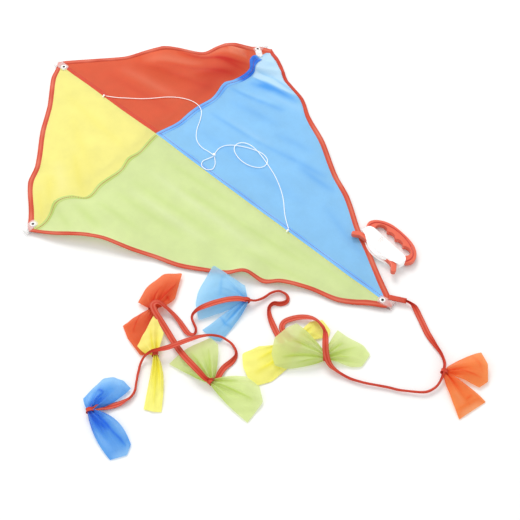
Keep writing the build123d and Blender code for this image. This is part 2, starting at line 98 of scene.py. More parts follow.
class Nodes:
    """A short way to write a material's nodes."""

    def __init__(self, name):
        self.material = bpy.data.materials.new(name)
        self.material.use_nodes = True
        self.tree = self.material.node_tree
        self.shader = self.tree.nodes["Principled BSDF"]
        self.output = self.tree.nodes["Material Output"]
        place = self.tree.nodes.new("ShaderNodeTexCoord")
        self.place = place.outputs["Object"]

    def set(self, **values):
        """Sets the shader's own sockets, such as Roughness=0.5 or Coat_Weight=0.2."""
        for key, value in values.items():
            self.shader.inputs[key.replace("_", " ")].default_value = value

    def link(self, a, b):
        self.tree.links.new(a, b)

    def noise(self, scale, detail=3.0, rough=0.5, stretch=None):
        node = self.tree.nodes.new("ShaderNodeTexNoise")
        node.inputs["Scale"].default_value = scale
        node.inputs["Detail"].default_value = detail
        node.inputs["Roughness"].default_value = rough
        self.link(self.stretched(stretch), node.inputs["Vector"])
        return node.outputs["Fac"]

    def stretched(self, stretch, turn=0.0):
        if stretch is None:
            return self.place
        node = self.tree.nodes.new("ShaderNodeMapping")
        node.inputs["Scale"].default_value = stretch
        node.inputs["Rotation"].default_value = (0, 0, turn)
        self.link(self.place, node.inputs["Vector"])
        return node.outputs["Vector"]

    def wave(self, scale, stretch, turn=0.0):
        node = self.tree.nodes.new("ShaderNodeTexWave")
        node.inputs["Scale"].default_value = scale
        self.link(self.stretched(stretch, turn), node.inputs["Vector"])
        return node.outputs["Fac"]

    def maths(self, operation, a, b):
        node = self.tree.nodes.new("ShaderNodeMath")
        node.operation = operation
        for socket, value in zip(node.inputs, (a, b)):
            if isinstance(value, (int, float)):
                socket.default_value = value
            else:
                self.link(value, socket)
        return node.outputs[0]

    def between(self, fac, low, high):
        node = self.tree.nodes.new("ShaderNodeMapRange")
        self.link(fac, node.inputs["Value"])
        node.inputs["From Min"].default_value = 0.25
        node.inputs["From Max"].default_value = 0.75
        node.inputs["To Min"].default_value = low
        node.inputs["To Max"].default_value = high
        return node.outputs["Result"]

    def colours(self, fac, one, two):
        """Mixes two colours; the first may also be another node's output."""
        node = self.tree.nodes.new("ShaderNodeMix")
        node.data_type = "RGBA"
        self.link(fac, node.inputs["Factor"])
        if isinstance(one, tuple):
            node.inputs["A"].default_value = (*one, 1)
        else:
            self.link(one, node.inputs["A"])
        node.inputs["B"].default_value = (*two, 1)
        return node.outputs["Result"]

    def shaded(self, tint, colour, deep):
        """Paints shade into a colour where the mesh's fold attribute is above 0, and paints light into it,
        paler, where it is below.
        """
        attribute = self.tree.nodes.new("ShaderNodeAttribute")
        attribute.attribute_name = "fold"
        fold = attribute.outputs["Fac"]
        deeper = self.colours(fold, tint, [c ** (1.0 + 1.3 * deep) * (1.0 - 0.12 * deep) for c in colour])
        return self.colours(self.maths("MULTIPLY", fold, -1.0), deeper, [c**0.45 for c in colour])

    def shaders(self, share, one, two):
        """Mixes two shaders, with the given share of the second."""
        mix = self.tree.nodes.new("ShaderNodeMixShader")
        mix.inputs["Fac"].default_value = share
        self.link(one, mix.inputs[1])
        self.link(two, mix.inputs[2])
        return mix.outputs["Shader"]

    def bump(self, height, strength, distance):
        node = self.tree.nodes.new("ShaderNodeBump")
        node.inputs["Strength"].default_value = strength
        node.inputs["Distance"].default_value = distance
        self.link(height, node.inputs["Height"])
        self.link(node.outputs["Normal"], self.shader.inputs["Normal"])
        return node.outputs["Normal"]


def scaled(colour, share):
    return tuple(min(1.0, c * share) for c in colour)


def cloth(name, colour, see_through=0.3, deep=0.9, weave=1500.0, fibres=0.0, open_share=0.0, folded=0.0):
    """Thin cloth: a fine plain weave or felted fibres, faint mottling, and light that passes through it."""
    n = Nodes(name)
    n.set(Roughness=0.62, Sheen_Weight=0.18, Sheen_Roughness=0.45, Specular_IOR_Level=0.3)
    mottle = n.noise(26.0, 4.0, 0.6)
    tint = n.colours(n.between(mottle, 0.0, 1.0), scaled(colour, deep), colour)
    # Where folded is given: painted shade and painted light, read from the mesh's fold attribute
    if folded:
        tint = n.shaded(tint, colour, folded)
    n.link(tint, n.shader.inputs["Base Color"])
    if fibres:
        height = n.noise(fibres, 6.0, 0.75, (1.0, 0.35, 1.0))
        normal = n.bump(height, 0.35, 0.0006)
    else:
        warp = n.wave(weave / 6.28, (1, 0, 0))
        weft = n.wave(weave / 6.28, (0, 1, 0), math.radians(90))
        height = n.maths("ADD", n.maths("MULTIPLY", warp, weft), n.noise(90.0, 3.0))
        normal = n.bump(height, 0.25, 0.0004)
    through = n.tree.nodes.new("ShaderNodeBsdfTranslucent")
    n.link(tint, through.inputs["Color"])
    n.link(normal, through.inputs["Normal"])
    surface = n.shaders(see_through, n.shader.outputs["BSDF"], through.outputs["BSDF"])
    if open_share:
        # What lies behind shows through the thin cloth, tinted by it
        clear = n.tree.nodes.new("ShaderNodeBsdfTransparent")
        clear.inputs["Color"].default_value = (*[c**0.5 for c in colour], 1)
        surface = n.shaders(open_share, surface, clear.outputs["BSDF"])
    n.link(surface, n.output.inputs["Surface"])
    return n.material


def bow_cloth(name, colour, deep, folded, see_through=0.5, open_share=0.2):
    """The bows' thin felted cloth."""
    return cloth(name, colour, see_through, deep, fibres=220.0, open_share=open_share, folded=folded)


def plastic(name, colour, roughness, coat=0.0):
    """Moulded plastic or rubber with a faint grain and slightly uneven gloss."""
    n = Nodes(name)
    n.set(Coat_Weight=coat, Coat_Roughness=0.12)
    fine = n.noise(420.0, 3.0)
    tint = n.colours(n.between(n.noise(35.0), 0, 1), scaled(colour, 0.9), colour)
    n.link(tint, n.shader.inputs["Base Color"])
    n.link(n.between(n.noise(60.0), roughness * 0.85, roughness * 1.2), n.shader.inputs["Roughness"])
    n.bump(fine, 0.15, 0.0002)
    return n.material


def twine(name, colour, painted_glow=0.0):
    """Twisted string: fine slanting plies. A glow paints light on white line, making it a little brighter
    than its shading.
    """
    n = Nodes(name)
    n.set(Roughness=0.75, Sheen_Weight=0.3, Emission_Color=(1, 1, 1, 1), Emission_Strength=painted_glow)
    plies = n.noise(1700.0, 2.0)
    n.link(n.colours(n.between(plies, 0, 1), scaled(colour, 0.95), colour), n.shader.inputs["Base Color"])
    n.bump(plies, 0.6, 0.0003)
    return n.material


def clear_strip(name, alpha, colour=(0.95, 0.95, 0.95)):
    """Clear flexible strip, a little milky, with faint scuffs."""
    n = Nodes(name)
    n.set(Base_Color=(*colour, 1), Specular_IOR_Level=0.6, Alpha=alpha)
    n.link(n.between(n.noise(140.0, 4.0), 0.12, 0.34), n.shader.inputs["Roughness"])
    n.bump(n.noise(60.0, 2.0), 0.2, 0.0004)
    return n.material


def floor_white():
    """A matt pale floor, faintly mottled."""
    n = Nodes("floor_white")
    n.set(Roughness=0.85, Specular_IOR_Level=0.2)
    tint = n.colours(n.between(n.noise(3.0), 0, 1), (0.90, 0.90, 0.895), (0.92, 0.92, 0.917))
    n.link(tint, n.shader.inputs["Base Color"])
    return n.material


RED = (0.80, 0.12, 0.042)
YELLOW = (0.99, 0.93, 0.30)
GREEN = (0.76, 0.88, 0.42)
BLUE = (0.31, 0.66, 1.0)
TAPE = (0.68, 0.075, 0.03)
PANEL_CLOTH = {
    "red": cloth("cloth_red", RED, folded=0.7),
    "yellow": cloth("cloth_yellow", YELLOW, folded=0.7),
    "green": cloth("cloth_green", GREEN, folded=0.7),
    "blue": cloth("cloth_blue", BLUE, folded=0.8),
}
DOUBLED = {
    "red": cloth("cloth_red_doubled", (0.70, 0.07, 0.025), 0.1),
    "green": cloth("cloth_green_doubled", (0.56, 0.70, 0.20), 0.1, folded=0.7),
    "blue": cloth("cloth_blue_doubled", (0.15, 0.44, 0.90), 0.1, folded=0.9),
}
SEAM_YELLOW = cloth("cloth_yellow_edge", (0.90, 0.88, 0.18), 0.1)
SEAM_BLUE = cloth("cloth_blue_seam", (0.21, 0.53, 0.96), 0.1, folded=0.9)
TAPE_CLOTH = cloth("binding_tape", TAPE, 0.08, 0.85, 900.0, folded=0.45)
RIBBON_CLOTH = cloth("ribbon_red", (0.76, 0.095, 0.045), 0.15, 0.85, fibres=260.0, folded=0.45)
BOW_CLOTH = {
    "red": bow_cloth("bow_red", (0.90, 0.20, 0.07), 0.86, 0.8),
    "green": bow_cloth("bow_green", (0.82, 0.92, 0.46), 0.9, 0.9, open_share=0.16),
    "yellow": bow_cloth("bow_yellow", (1.0, 0.96, 0.25), 0.92, 0.9, see_through=0.22, open_share=0.04),
    "blue": bow_cloth("bow_blue", (0.16, 0.48, 0.96), 0.85, 0.9),
}
PALE_BOWS = {
    "bow_1_red": bow_cloth("bow_red_pale", (1.0, 0.34, 0.10), 0.88, 0.8),
    "bow_4_blue": bow_cloth("bow_blue_pale", (0.42, 0.75, 1.0), 0.88, 0.9),
}
# The white line glows a little: painted light
STRING = twine("string_white", (0.97, 0.97, 0.96), 0.12)
THREAD_RED = twine("thread_red", (0.55, 0.08, 0.05))
THREAD_PURPLE = twine("thread_purple", (0.28, 0.08, 0.40))
EYELET_WHITE = plastic("eyelet_white", (0.86, 0.86, 0.85), 0.3)
ROD_BLACK = plastic("rod_black", (0.02, 0.02, 0.022), 0.35)
CAP_BLACK_AND_BORE_SHADOW = plastic("cap_black_and_bore_shadow", (0.03, 0.03, 0.03), 0.6)
FITTING_BLACK = plastic("fitting_black", (0.03, 0.03, 0.034), 0.45)
WINDER_RED = plastic("winder_red", (0.80, 0.125, 0.06), 0.34, coat=0.25)
# A darker red for the grip's rim bead: painted shade
WINDER_RIM_SHADE = plastic("winder_rim_shade", (0.62, 0.03, 0.012), 0.3, coat=0.3)
CLEAR = clear_strip("clear_strip", 0.25)
MILKY = clear_strip("clear_strip_end", 0.62)
TINTED = clear_strip("clear_strip_tail", 0.34, (0.93, 0.72, 0.70))

# ---------------------------------------------------------------- mesh helpers


def mesh_piece(name, points_mm, faces, material):
    """A smooth mesh object from points in millimetres."""
    mesh = bpy.data.meshes.new(name)
    mesh.from_pydata([tuple(float(c) * MM for c in p) for p in points_mm], [], [tuple(f) for f in faces])
    mesh.validate()
    mesh.update()
    mesh.shade_smooth()
    mesh.materials.append(material)
    obj = bpy.data.objects.new(name, mesh)
    bpy.context.collection.objects.link(obj)
    return obj


def paint_shade_and_light(obj, amounts):
    """Stores the painted shade at each point as the fold attribute its material reads: 1 deep painted shade,
    -1 pale painted light.
    """
    layer = obj.data.attributes.new("fold", "FLOAT", "POINT")
    layer.data.foreach_set("value", np.clip(np.asarray(amounts, float), -1, 1))
    return obj


def grid_faces(rows, columns, first=0, closed=False, looped=False):
    """Quads of a grid of points; closed joins each row's ends, and looped joins the last row to the first."""
    faces = []
    for i in range(rows if looped else rows - 1):
        a = first + i * columns
        b = first + (i + 1) % rows * columns
        for j in range(columns if closed else columns - 1):
            k = (j + 1) % columns
            faces.append((a + j, a + k, b + k, b + j))
    return faces


def unit(vectors):
    """The same directions, each of length 1."""
    return vectors / np.linalg.norm(vectors, axis=-1, keepdims=True)


def side_to_side(count):
    """Evenly spaced shares from -1 on one side to 1 on the other."""
    return [2 * k / (count - 1) - 1 for k in range(count)]


def turns(count):
    """Evenly spaced angles round a full turn."""
    return [2 * math.pi * k / count for k in range(count)]


def thick(obj, metres):
    """Gives a sheet its thickness, half on each side."""
    solid = obj.modifiers.new("thickness", "SOLIDIFY")
    solid.thickness = metres
    solid.offset = 0.0
    return obj


FLOOR_HALF = 9000.0
floor_corners = [(x * FLOOR_HALF, y * FLOOR_HALF, 0) for x, y in ((-1, -1), (1, -1), (1, 1), (-1, 1))]
floor = mesh_piece("floor", floor_corners, [(0, 1, 2, 3)], floor_white())

# ---------------------------------------------------------------- the sail's shape

NOSE = (0.0, 254.0)
TAIL = (0.0, -549.0)
WING_X = 297.0
CROSS_V = -8.0
EYELETS = [(0, 236), (0, -530), (280, 0), (-280, 0)]

# Where the cloth lies: a place on the flat cut (u, v), then its place over the floor (x, y, z), in mm
CLOTH_LIES = [
    # centre, then down and up the spine
    (0, -8, 0, -10, 9.4), (0, 60, 0, 60, 6.4), (0, 125, 0, 125, 5.6), (0, 190, 0, 190, 5.6),
    (0, 236, 0, 236, 6.0), (0, 254, 1, 254, 6.0), (0, -80, 0, -80, 6.4), (0, -160, 0, -160, 5.6),
    (0, -240, 0, -240, 5.6), (0, -330, 0, -330, 5.6), (0, -420, 0, -420, 5.6), (0, -500, 0, -500, 5.8),
    (0, -530, 0, -530, 6.0), (0, -549, 0, -548, 6.0),
    # cross seam, left half
    (-27, -8, -28, -13, 8.5), (-50, -8, -51, -17, 8.0), (-72, -8, -73, -14, 10.0), (-94, -8, -94, -20, 7.0),
    (-120, -8, -118, -20, 7.0), (-150, -8, -149, -19, 8.5), (-184, -8, -184, -22, 6.5),
    (-197, -8, -197, -8, 13.5), (-214, -8, -215, 0, 19.0), (-231, -8, -231, 2, 18.0),
    (-247, -8, -246, -5, 12.0), (-263, -8, -263, -10, 8.0), (-280, -8, -279, -8, 6.3),
    (-297, -8, -294, -6, 6.0),
    # cross seam, right half
    (28, -8, 29, -16, 8.0), (52, -8, 52, -19, 7.5), (72, -8, 71, -18, 8.0), (105, -8, 105, -19, 7.5),
    (129, -8, 128, -23, 6.5), (153, -8, 151, -19, 8.0), (176, -8, 173, -16, 10.5), (190, -8, 187, -22, 8.0),
    (212, -8, 207, -25, 7.5), (236, -8, 231, -26, 8.5), (252, -8, 243, -15, 11.0), (264, -8, 257, -11, 9.0),
    (275, -8, 270, -17, 7.5), (286, -8, 284, -19, 6.5), (297, -8, 298, -20, 6.0),
    # edge from nose to left wing
    (-30, 228, -30, 236, 5.0), (-80, 183, -81, 188, 5.0), (-134, 136, -135, 147, 6.0),
    (-190, 86, -192, 95, 5.0), (-223, 57, -223, 77, 5.0), (-258, 26, -260, 33, 5.0),
    (-286, 2, -288, 4, 6.0),
    # edge from nose to right wing
    (16, 240, 14, 245, 6.0), (100, 166, 97, 171, 6.0), (151, 121, 151, 124, 25.0), (176, 99, 175, 103, 16.0),
    (208, 70, 208, 68, 4.5), (233, 48, 234, 50, 16.0), (254, 30, 253, 33, 20.0), (275, 11, 275, 12, 8.0),
    (288, 0, 290, -3, 7.0),
    # edge from right wing to tail
    (285, -30, 288, -42, 8.0), (270, -57, 276, -66, 8.0), (251, -92, 257, -98, 7.0),
    (235, -121, 246, -142, 5.0), (211, -165, 221, -181, 5.0), (180, -221, 194, -238, 5.0),
    (137, -299, 145, -314, 5.0), (114, -341, 127, -352, 5.0), (79, -405, 85, -413, 5.0),
    (62, -436, 67, -445, 5.0), (14, -523, 15, -532, 5.6),
    # edge from left wing to tail
    (-272, -53, -271, -47, 12.0), (-224, -141, -226, -117, 18.0), (-205, -176, -208, -163, 11.0),
    (-189, -205, -190, -200, 6.0), (-173, -234, -177, -236, 4.5), (-145, -285, -148, -286, 4.5),
    (-130, -312, -131, -312, 6.0), (-113, -343, -113, -337, 17.0), (-103, -361, -106, -362, 6.0),
    (-88, -389, -90, -384, 11.0), (-61, -438, -61, -438, 5.0), (-47, -463, -51, -474, 4.5),
    (-30, -494, -31, -506, 4.5), (-8, -534, -9, -540, 5.6),
    # middles of the four panels
    (90, 75, 90, 75, 6.0), (60, 160, 60, 162, 6.0), (200, 30, 198, 26, 13.0), (-90, 75, -90, 76, 5.0),
    (-60, 160, -60, 162, 5.0), (-190, 35, -190, 38, 9.0), (-70, -130, -70, -132, 5.5),
    (-150, -110, -150, -112, 8.0), (-60, -260, -60, -260, 5.5), (-110, -220, -111, -220, 6.0),
    (-40, -400, -40, -400, 5.5), (80, -130, 81, -134, 5.5), (160, -110, 162, -118, 7.5),
    (60, -260, 62, -264, 5.0), (120, -220, 124, -228, 6.5), (40, -400, 42, -404, 5.0),
    (215, -60, 215, -72, 7.0),
]

# Creases in the cloth: from (u, v) to (u, v), height and half width in millimetres
CREASES = [
    (-40, -60, -38, -420, 1.5, 9), (-75, -40, -80, -330, 1.8, 12), (-120, -50, -108, -260, 1.6, 10),
    (-150, -40, -160, -200, 2.2, 12), (-190, -30, -175, -150, 2.0, 9), (-215, -30, -232, -110, 2.6, 9),
    (-20, -300, -12, -520, 1.2, 6), (-60, -330, -28, -480, 1.4, 8), (-95, -200, -70, -390, 1.5, 8),
    (45, -40, 40, -380, 1.5, 10), (90, -30, 85, -300, 1.8, 11), (130, -40, 125, -250, 1.6, 9),
    (172, -22, 150, -200, 2.6, 9), (205, -40, 178, -190, 1.8, 9), (60, -280, 25, -500, 1.3, 8),
    (100, -210, 78, -380, 1.6, 8), (35, -160, 30, -320, 1.0, 7), (246, -14, 150, 120, 3.5, 12),
    (250, -6, 210, 76, 3.4, 8), (252, -2, 236, 44, 3.0, 5), (240, -10, 120, 60, 2.4, 12),
    (200, -12, 110, 110, 1.6, 10), (90, 0, 70, 150, 1.2, 12), (150, 0, 100, 130, 1.4, 10),
    (-60, 0, -45, 170, 1.2, 11), (-110, 0, -85, 140, 1.3, 10), (-184, -10, -130, 60, 2.2, 11),
    (-235, -10, -190, 50, 2.4, 10), (-270, -10, -225, 40, 1.8, 7),
]

# Sharp folds near the right wing, where the cloth is pinched and turned over
PINCHES = [
    (236, -12, 270, -8, 5.5, 3.2), (243, -14, 262, -78, 4.6, 4.0), (240, -16, 250, -92, -3.2, 5.0),
    (246, -18, 276, -44, 3.0, 5.0), (222, -13, 242, -12, 2.6, 3.5),
]

# Soft shading painted into the sail: from (u, v) to (u, v), amount (above 0 deeper, below 0 paler),
# half width
SHADES = [
    (103, -38, 108, -156, 0.42, 5), (108, -150, 118, -225, 0.42, 5), (117, -215, 126, -285, 0.35, 5),
    (113, -240, 108, -318, 0.40, 6), (110, -60, 115, -200, -0.22, 7), (173, -22, 184, -90, 0.55, 6),
    (182, -80, 190, -130, 0.45, 6), (180, -30, 192, -110, -0.3, 6), (150, -40, 158, -150, 0.22, 8),
    (60, -50, 58, -300, 0.16, 9), (212, -30, 216, -80, 0.6, 9), (218, -50, 222, -122, 0.75, 7),
    (224, -30, 224, -112, 0.5, 3), (75, -330, 40, -460, 0.2, 6), (205, -60, 212, -150, -0.2, 8),
    (140, -160, 150, -230, 0.22, 7), (-55, -126, -44, -243, 0.30, 6), (-46, -235, -28, -400, 0.30, 6),
    (-30, -70, -20, -215, 0.26, 6), (-102, -50, -86, -265, 0.28, 7), (-140, -45, -126, -205, 0.26, 7),
    (-66, -60, -62, -330, -0.25, 8), (-120, -60, -108, -240, -0.22, 8), (-176, -40, -168, -150, 0.28, 7),
    (-206, -30, -212, -110, 0.34, 8), (-80, -300, -52, -440, 0.26, 6), (-20, -300, -10, -500, 0.18, 5),
    (-238, -20, -246, -70, 0.28, 6), (-184, -4, -128, 66, 0.30, 8), (-150, 0, -70, 130, 0.16, 10),
    (-232, -2, -190, 52, 0.30, 8), (-262, -4, -228, 30, 0.22, 6), (-60, 10, -44, 175, 0.16, 9),
    (-210, 0, -160, 70, -0.2, 9), (105, 16, 240, 2, 0.42, 20), (60, 8, 45, 165, 0.20, 9),
    (150, 4, 96, 135, 0.30, 8), (205, -4, 120, 104, 0.32, 7), (241, -6, 168, 92, 0.75, 4),
    (226, -4, 206, 40, 0.5, 6), (180, 50, 110, 130, -0.3, 12), (262, 12, 236, 34, -0.5, 8),
    (250, 2, 200, 76, -0.35, 5), (215, 0, 150, 40, 0.35, 12), (90, 30, 70, 150, -0.18, 10),
]
# The corner of the blue panel that is turned up to the light and painted pale as painted light, on the flat
# cut, and the painted shade along the folds that cross it
PALE_FLAP = [(262, -10), (293, -8), (255, -84), (233, -118), (229, -91), (229, -60), (226, -21), (240, -17)]
FLAP_SHADE_LINES = [(243, -21, 244, -62, 0.75, 2.6), (244, -58, 236, -113, 0.75, 2.6), (262, -20, 268, -46, 0.2, 5)]
# How much painted light the flap gets, and over what distance in mm its edge fades in
FLAP_PALENESS = 0.95
FLAP_EDGE = 3.0
# The unit of the distances in the surface's sums, in mm, and how loosely it passes its known places
KERNEL_UNIT = 100.0
SOFTNESS = 0.0015


def kernel(points, centres):
    """Thin-plate distances, in units of KERNEL_UNIT to keep the numbers near one."""
    squared = (((points[:, None, :] - centres[None]) / KERNEL_UNIT) ** 2).sum(2)
    return 0.5 * squared * np.log(squared + 1e-9)


class Lie:
    """The smooth surface through known places of the cloth."""

    def __init__(self, known):
        table = np.array(known, float)
        self.centres = table[:, :2]
        moves = table[:, 2:] - np.column_stack([self.centres, np.zeros(len(table))])
        count = len(table)
        square = kernel(self.centres, self.centres) + SOFTNESS * np.eye(count)
        plane = np.column_stack([np.ones(count), self.centres / KERNEL_UNIT])
        system = np.block([[square, plane], [plane.T, np.zeros((3, 3))]])
        self.weights = np.linalg.solve(system, np.vstack([moves, np.zeros((3, 3))]))

    def __call__(self, flat):
        basis = np.column_stack([kernel(flat, self.centres), np.ones(len(flat)), flat / KERNEL_UNIT])
        return np.column_stack([flat, np.zeros(len(flat))]) + basis @ self.weights


LIE = Lie(CLOTH_LIES)


def ridge(flat, u0, v0, u1, v1, height, half_width):
    """A fold along a line on the flat cut, which fades towards both of its ends."""
    start = np.array([u0, v0], float)
    run = np.array([u1 - u0, v1 - v0], float)
    length = np.hypot(*run)
    along = (flat - start) @ run / length**2
    nearest = start + np.clip(along, 0, 1)[:, None] * run
    away = np.hypot(*(flat - nearest).T) / half_width
    fade = np.clip(np.sin(np.pi * np.clip(along * 0.9 + 0.05, 0, 1)), 0, 1) ** 0.6
    sharp = np.exp(1.0 - np.sqrt(1.0 + 3.0 * away**2))
    return height * fade * sharp


def distance_inside(flat, corners):
    """Signed distance to the sides of a polygon: above 0 inside it."""
    corners = np.array(corners, float)
    nearest = np.full(len(flat), np.inf)
    inside = np.zeros(len(flat), bool)
    for one, two in zip(corners, np.roll(corners, -1, axis=0)):
        run = two - one
        along = np.clip((flat - one) @ run / (run @ run), 0, 1)
        nearest = np.minimum(nearest, np.hypot(*(flat - one - along[:, None] * run).T))
        crosses = (one[1] > flat[:, 1]) != (two[1] > flat[:, 1])
        rise = run[1] if abs(run[1]) > 1e-9 else 1e-9
        inside ^= crosses & (flat[:, 0] < one[0] + (flat[:, 1] - one[1]) / rise * run[0])
    return np.where(inside, nearest, -nearest)


def sail_shade(flat):
    """The painted shade (above 0) and painted light (below 0) of the sail's cloth at each place of the flat
    cut.
    """
    flat = np.asarray(flat, float)
    total = sum(ridge(flat, *shade) for shade in SHADES)
    flap = np.clip(distance_inside(flat, PALE_FLAP) / FLAP_EDGE + 0.5, 0, 1)
    painted_shading = sum(ridge(flat, *fold) for fold in FLAP_SHADE_LINES)
    return total * (1 - flap) + (painted_shading - FLAP_PALENESS) * flap


# How high the rods and their fitting hold the cloth, and the lowest that it lies anywhere
SPINE_TOP, SPAR_TOP, FITTING_TOP, LOWEST_CLOTH = 4.5, 7.6, 8.6, 0.9
# The spar comes down towards its ends by so much, over so far
SPAR_DROP, SPAR_HALF = 3.3, 291.0
# How far from the middle they reach, and how steeply the cloth falls away beside and beyond them
SPINE_DOWN, SPINE_UP, SPAR_REACH, FITTING_REACH = 547, 252, 292, 11.0
SPINE_FLAT, SPAR_FLAT = 1.0, 1.5
SIDE_SLOPE, END_SLOPE, FITTING_SLOPE = 0.30, 0.4, 0.35


def past(distance, limit):
    """How far each distance is past a limit."""
    return np.maximum(distance - limit, 0)


def rod_tents(places):
    """How high the rods and their cross fitting hold the cloth at each place."""
    x, y = places[:, 0], places[:, 1]
    spine = SPINE_TOP - SIDE_SLOPE * past(np.abs(x), SPINE_FLAT)
    spine = spine - END_SLOPE * past(y, SPINE_UP) - END_SLOPE * past(-y, SPINE_DOWN)
    spar = SPAR_TOP - SPAR_DROP * (x / SPAR_HALF) ** 2
    spar = spar - SIDE_SLOPE * past(np.abs(y), SPAR_FLAT) - END_SLOPE * past(np.abs(x), SPAR_REACH)
    fitting = FITTING_TOP - FITTING_SLOPE * past(np.hypot(x, y), FITTING_REACH)
    return np.maximum(np.maximum(spine, spar), np.maximum(fitting, LOWEST_CLOTH))


CRUMPLES, CRUMPLE_HEIGHT = 26, 0.12


def crumple(flat):
    """Small soft unevenness everywhere, as thin cloth has."""
    waves = np.random.default_rng(5)
    total = np.zeros(len(flat))
    for _ in range(CRUMPLES):
        angle = waves.normal(math.pi / 2, 0.7)
        length = waves.uniform(28, 90)
        phase = waves.uniform(0, 2 * math.pi)
        along = flat @ np.array([math.sin(angle), math.cos(angle) * 0.6])
        total += CRUMPLE_HEIGHT * (length / 60) * np.sin(2 * math.pi * along / length + phase)
    return total


# The cloth lies flat round the eyelets: its greatest height there, how far that reaches, and over what
# distance it fades
EYELET_FLAT, EYELET_REACH, EYELET_FADE = 6.7, 17.0, 8.0
# How gradually the cloth comes to rest on the rods
SOFT_CONTACT = 0.6


def sail(flat):
    """Where places on the flat cut lie, in millimetres."""
    flat = np.atleast_2d(np.asarray(flat, float))
    lies = LIE(flat)
    for crease in CREASES + PINCHES:
        lies[:, 2] += ridge(flat, *crease)
    lies[:, 2] += crumple(flat)
    tents = rod_tents(lies)
    lies[:, 2] = tents + np.logaddexp(0, (lies[:, 2] - tents) / SOFT_CONTACT) * SOFT_CONTACT
    for x, y in EYELETS:
        near = np.clip((EYELET_REACH - np.hypot(lies[:, 0] - x, lies[:, 1] - y)) / EYELET_FADE, 0, 1)
        lies[:, 2] += near * (np.minimum(lies[:, 2], EYELET_FLAT) - lies[:, 2])
    return lies


def sail_normal(flat):
    """The cloth's upward normal at each place."""
    right, up = np.array([1.5, 0]), np.array([0, 1.5])
    east = sail(flat + right) - sail(flat - right)
    north = sail(flat + up) - sail(flat - up)
    normal = unit(np.cross(east, north))
    return normal * np.sign(normal[:, 2:3])


# ---------------------------------------------------------------- the sail's four panels

SIDES = 104
QUARTERS = {
    "red": (1, NOSE, "nose_right"),
    "yellow": (-1, NOSE, "nose_left"),
    "green": (-1, TAIL, "tail_left"),
    "blue": (1, TAIL, "tail_right"),
}
SIDE_WORD = {1: "right", -1: "left"}


def rides_side(obj):
    """Cloth that reaches from the middle of the kite to one wing pocket: bakes its placement into its mesh.
    """
    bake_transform(obj)
    return obj


def triangle_grid(corner, wing, end, count):
    """Points of a triangle in rows of shrinking length, and its faces."""
    corner, wing, end = (np.array(p, float) for p in (corner, wing, end))
    points, index = [], {}
    for i in range(count + 1):
        for j in range(count + 1 - i):
            index[i, j] = len(points)
            points.append(corner + (wing - corner) * i / count + (end - corner) * j / count)
    faces = []
    for i in range(count):
        for j in range(count - i):
            faces.append((index[i, j], index[i + 1, j], index[i, j + 1]))
            if j < count - i - 1:
                faces.append((index[i + 1, j], index[i + 1, j + 1], index[i, j + 1]))
    return np.array(points), faces


PUNCH_RADIUS = 3.4


def in_eyelet(face):
    """Whether a face lies inside an eyelet's bore."""
    middle = face.calc_center_median()
    return any(math.hypot(middle.x / MM - x, middle.y / MM - y) < PUNCH_RADIUS for x, y in EYELETS)


def punch(obj):
    """Opens the eyelets' holes in a piece; the rings' flanges cover the cut edges."""
    mesh = bmesh.new()
    mesh.from_mesh(obj.data)
    bmesh.ops.delete(mesh, geom=[face for face in mesh.faces if in_eyelet(face)], context="FACES")
    mesh.to_mesh(obj.data)
    mesh.free()
    return obj


PANELS = {}
for colour, (side, end, where) in QUARTERS.items():
    wing = (side * WING_X, CROSS_V)
    flat, faces = triangle_grid((0, CROSS_V), wing, end, SIDES)
    if side * end[1] < 0:
        faces = [tuple(reversed(f)) for f in faces]
    sheet = mesh_piece(f"sail_{colour}", sail(flat), faces, PANEL_CLOTH[colour])
    punch(paint_shade_and_light(sheet, sail_shade(flat)))
    corner_nodes = [f"sail_corner_{SIDE_WORD[side]}"] if colour in ("red", "yellow") else []
    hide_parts(f"sail_panel_{colour}", *corner_nodes)
    rides_side(sheet)
    PANELS[colour] = sheet

COVER = BVHTree.FromPolygons(
    [tuple(v.co) for p in PANELS.values() for v in p.data.vertices],
    [
        tuple(i + first for i in f.vertices)
        for p, first in zip(PANELS.values(), np.cumsum([0] + [len(p.data.vertices) for p in PANELS.values()]))
        for f in p.data.polygons
    ],
)


def cover_height(x, y):
    """Height of the sail above the floor under a place, in millimetres, or 0 off the sail."""
    hit = COVER.ray_cast(Vector((x * MM, y * MM, 0.2)), Vector((0, 0, -1)))
    return hit[0].z / MM if hit[0] else 0.0


# ---------------------------------------------------------------- seams and stitches

SEAM_WIDTH = 8.5
# The seams lie higher over the sharp folds by the right wing: by how much, from where, and over what length
WING_LIFT, WING_LIFT_FROM, WING_LIFT_OVER = 0.9, 215, 15


def wing_lift(flat):
    """How much higher a seam lies at each place of the flat cut."""
    return WING_LIFT * np.clip((flat[:, 0] - WING_LIFT_FROM) / WING_LIFT_OVER, 0, 1)


def seam_shade(flat):
    """The painted shade on the seams' doubled cloth: deepest where the cross seam is pinched near the right
    wing, with a faint wavy variation.
    """
    near_wing = np.clip((flat[:, 0] - 196) / 14, 0, 1) * np.clip((270 - flat[:, 0]) / 8, 0, 1)
    pinched = near_wing * (np.abs(flat[:, 1] + 13) < 9)
    return pinched + 0.2 * np.sin(flat[:, 0] * 0.11) * np.sin(flat[:, 1] * 0.05)


def strip_on_sail(name, start, finish, inward, width, lift, material, steps, columns=9):
    """A narrow band on top of the sail, along a line of the flat cut."""
    start, finish, inward = (np.array(p, float) for p in (start, finish, inward))
    rows = []
    for i in range(steps + 1):
        for j in range(columns):
            rows.append(start + (finish - start) * i / steps + inward * width * j / (columns - 1))
    flat = np.array(rows)
    clear = lift + wing_lift(flat)
    places = sail(flat) + sail_normal(flat) * clear[:, None]
    band = mesh_piece(name, places, grid_faces(steps + 1, columns), material)
    # The band carries the seams' painted shade
    return punch(paint_shade_and_light(band, seam_shade(flat)))


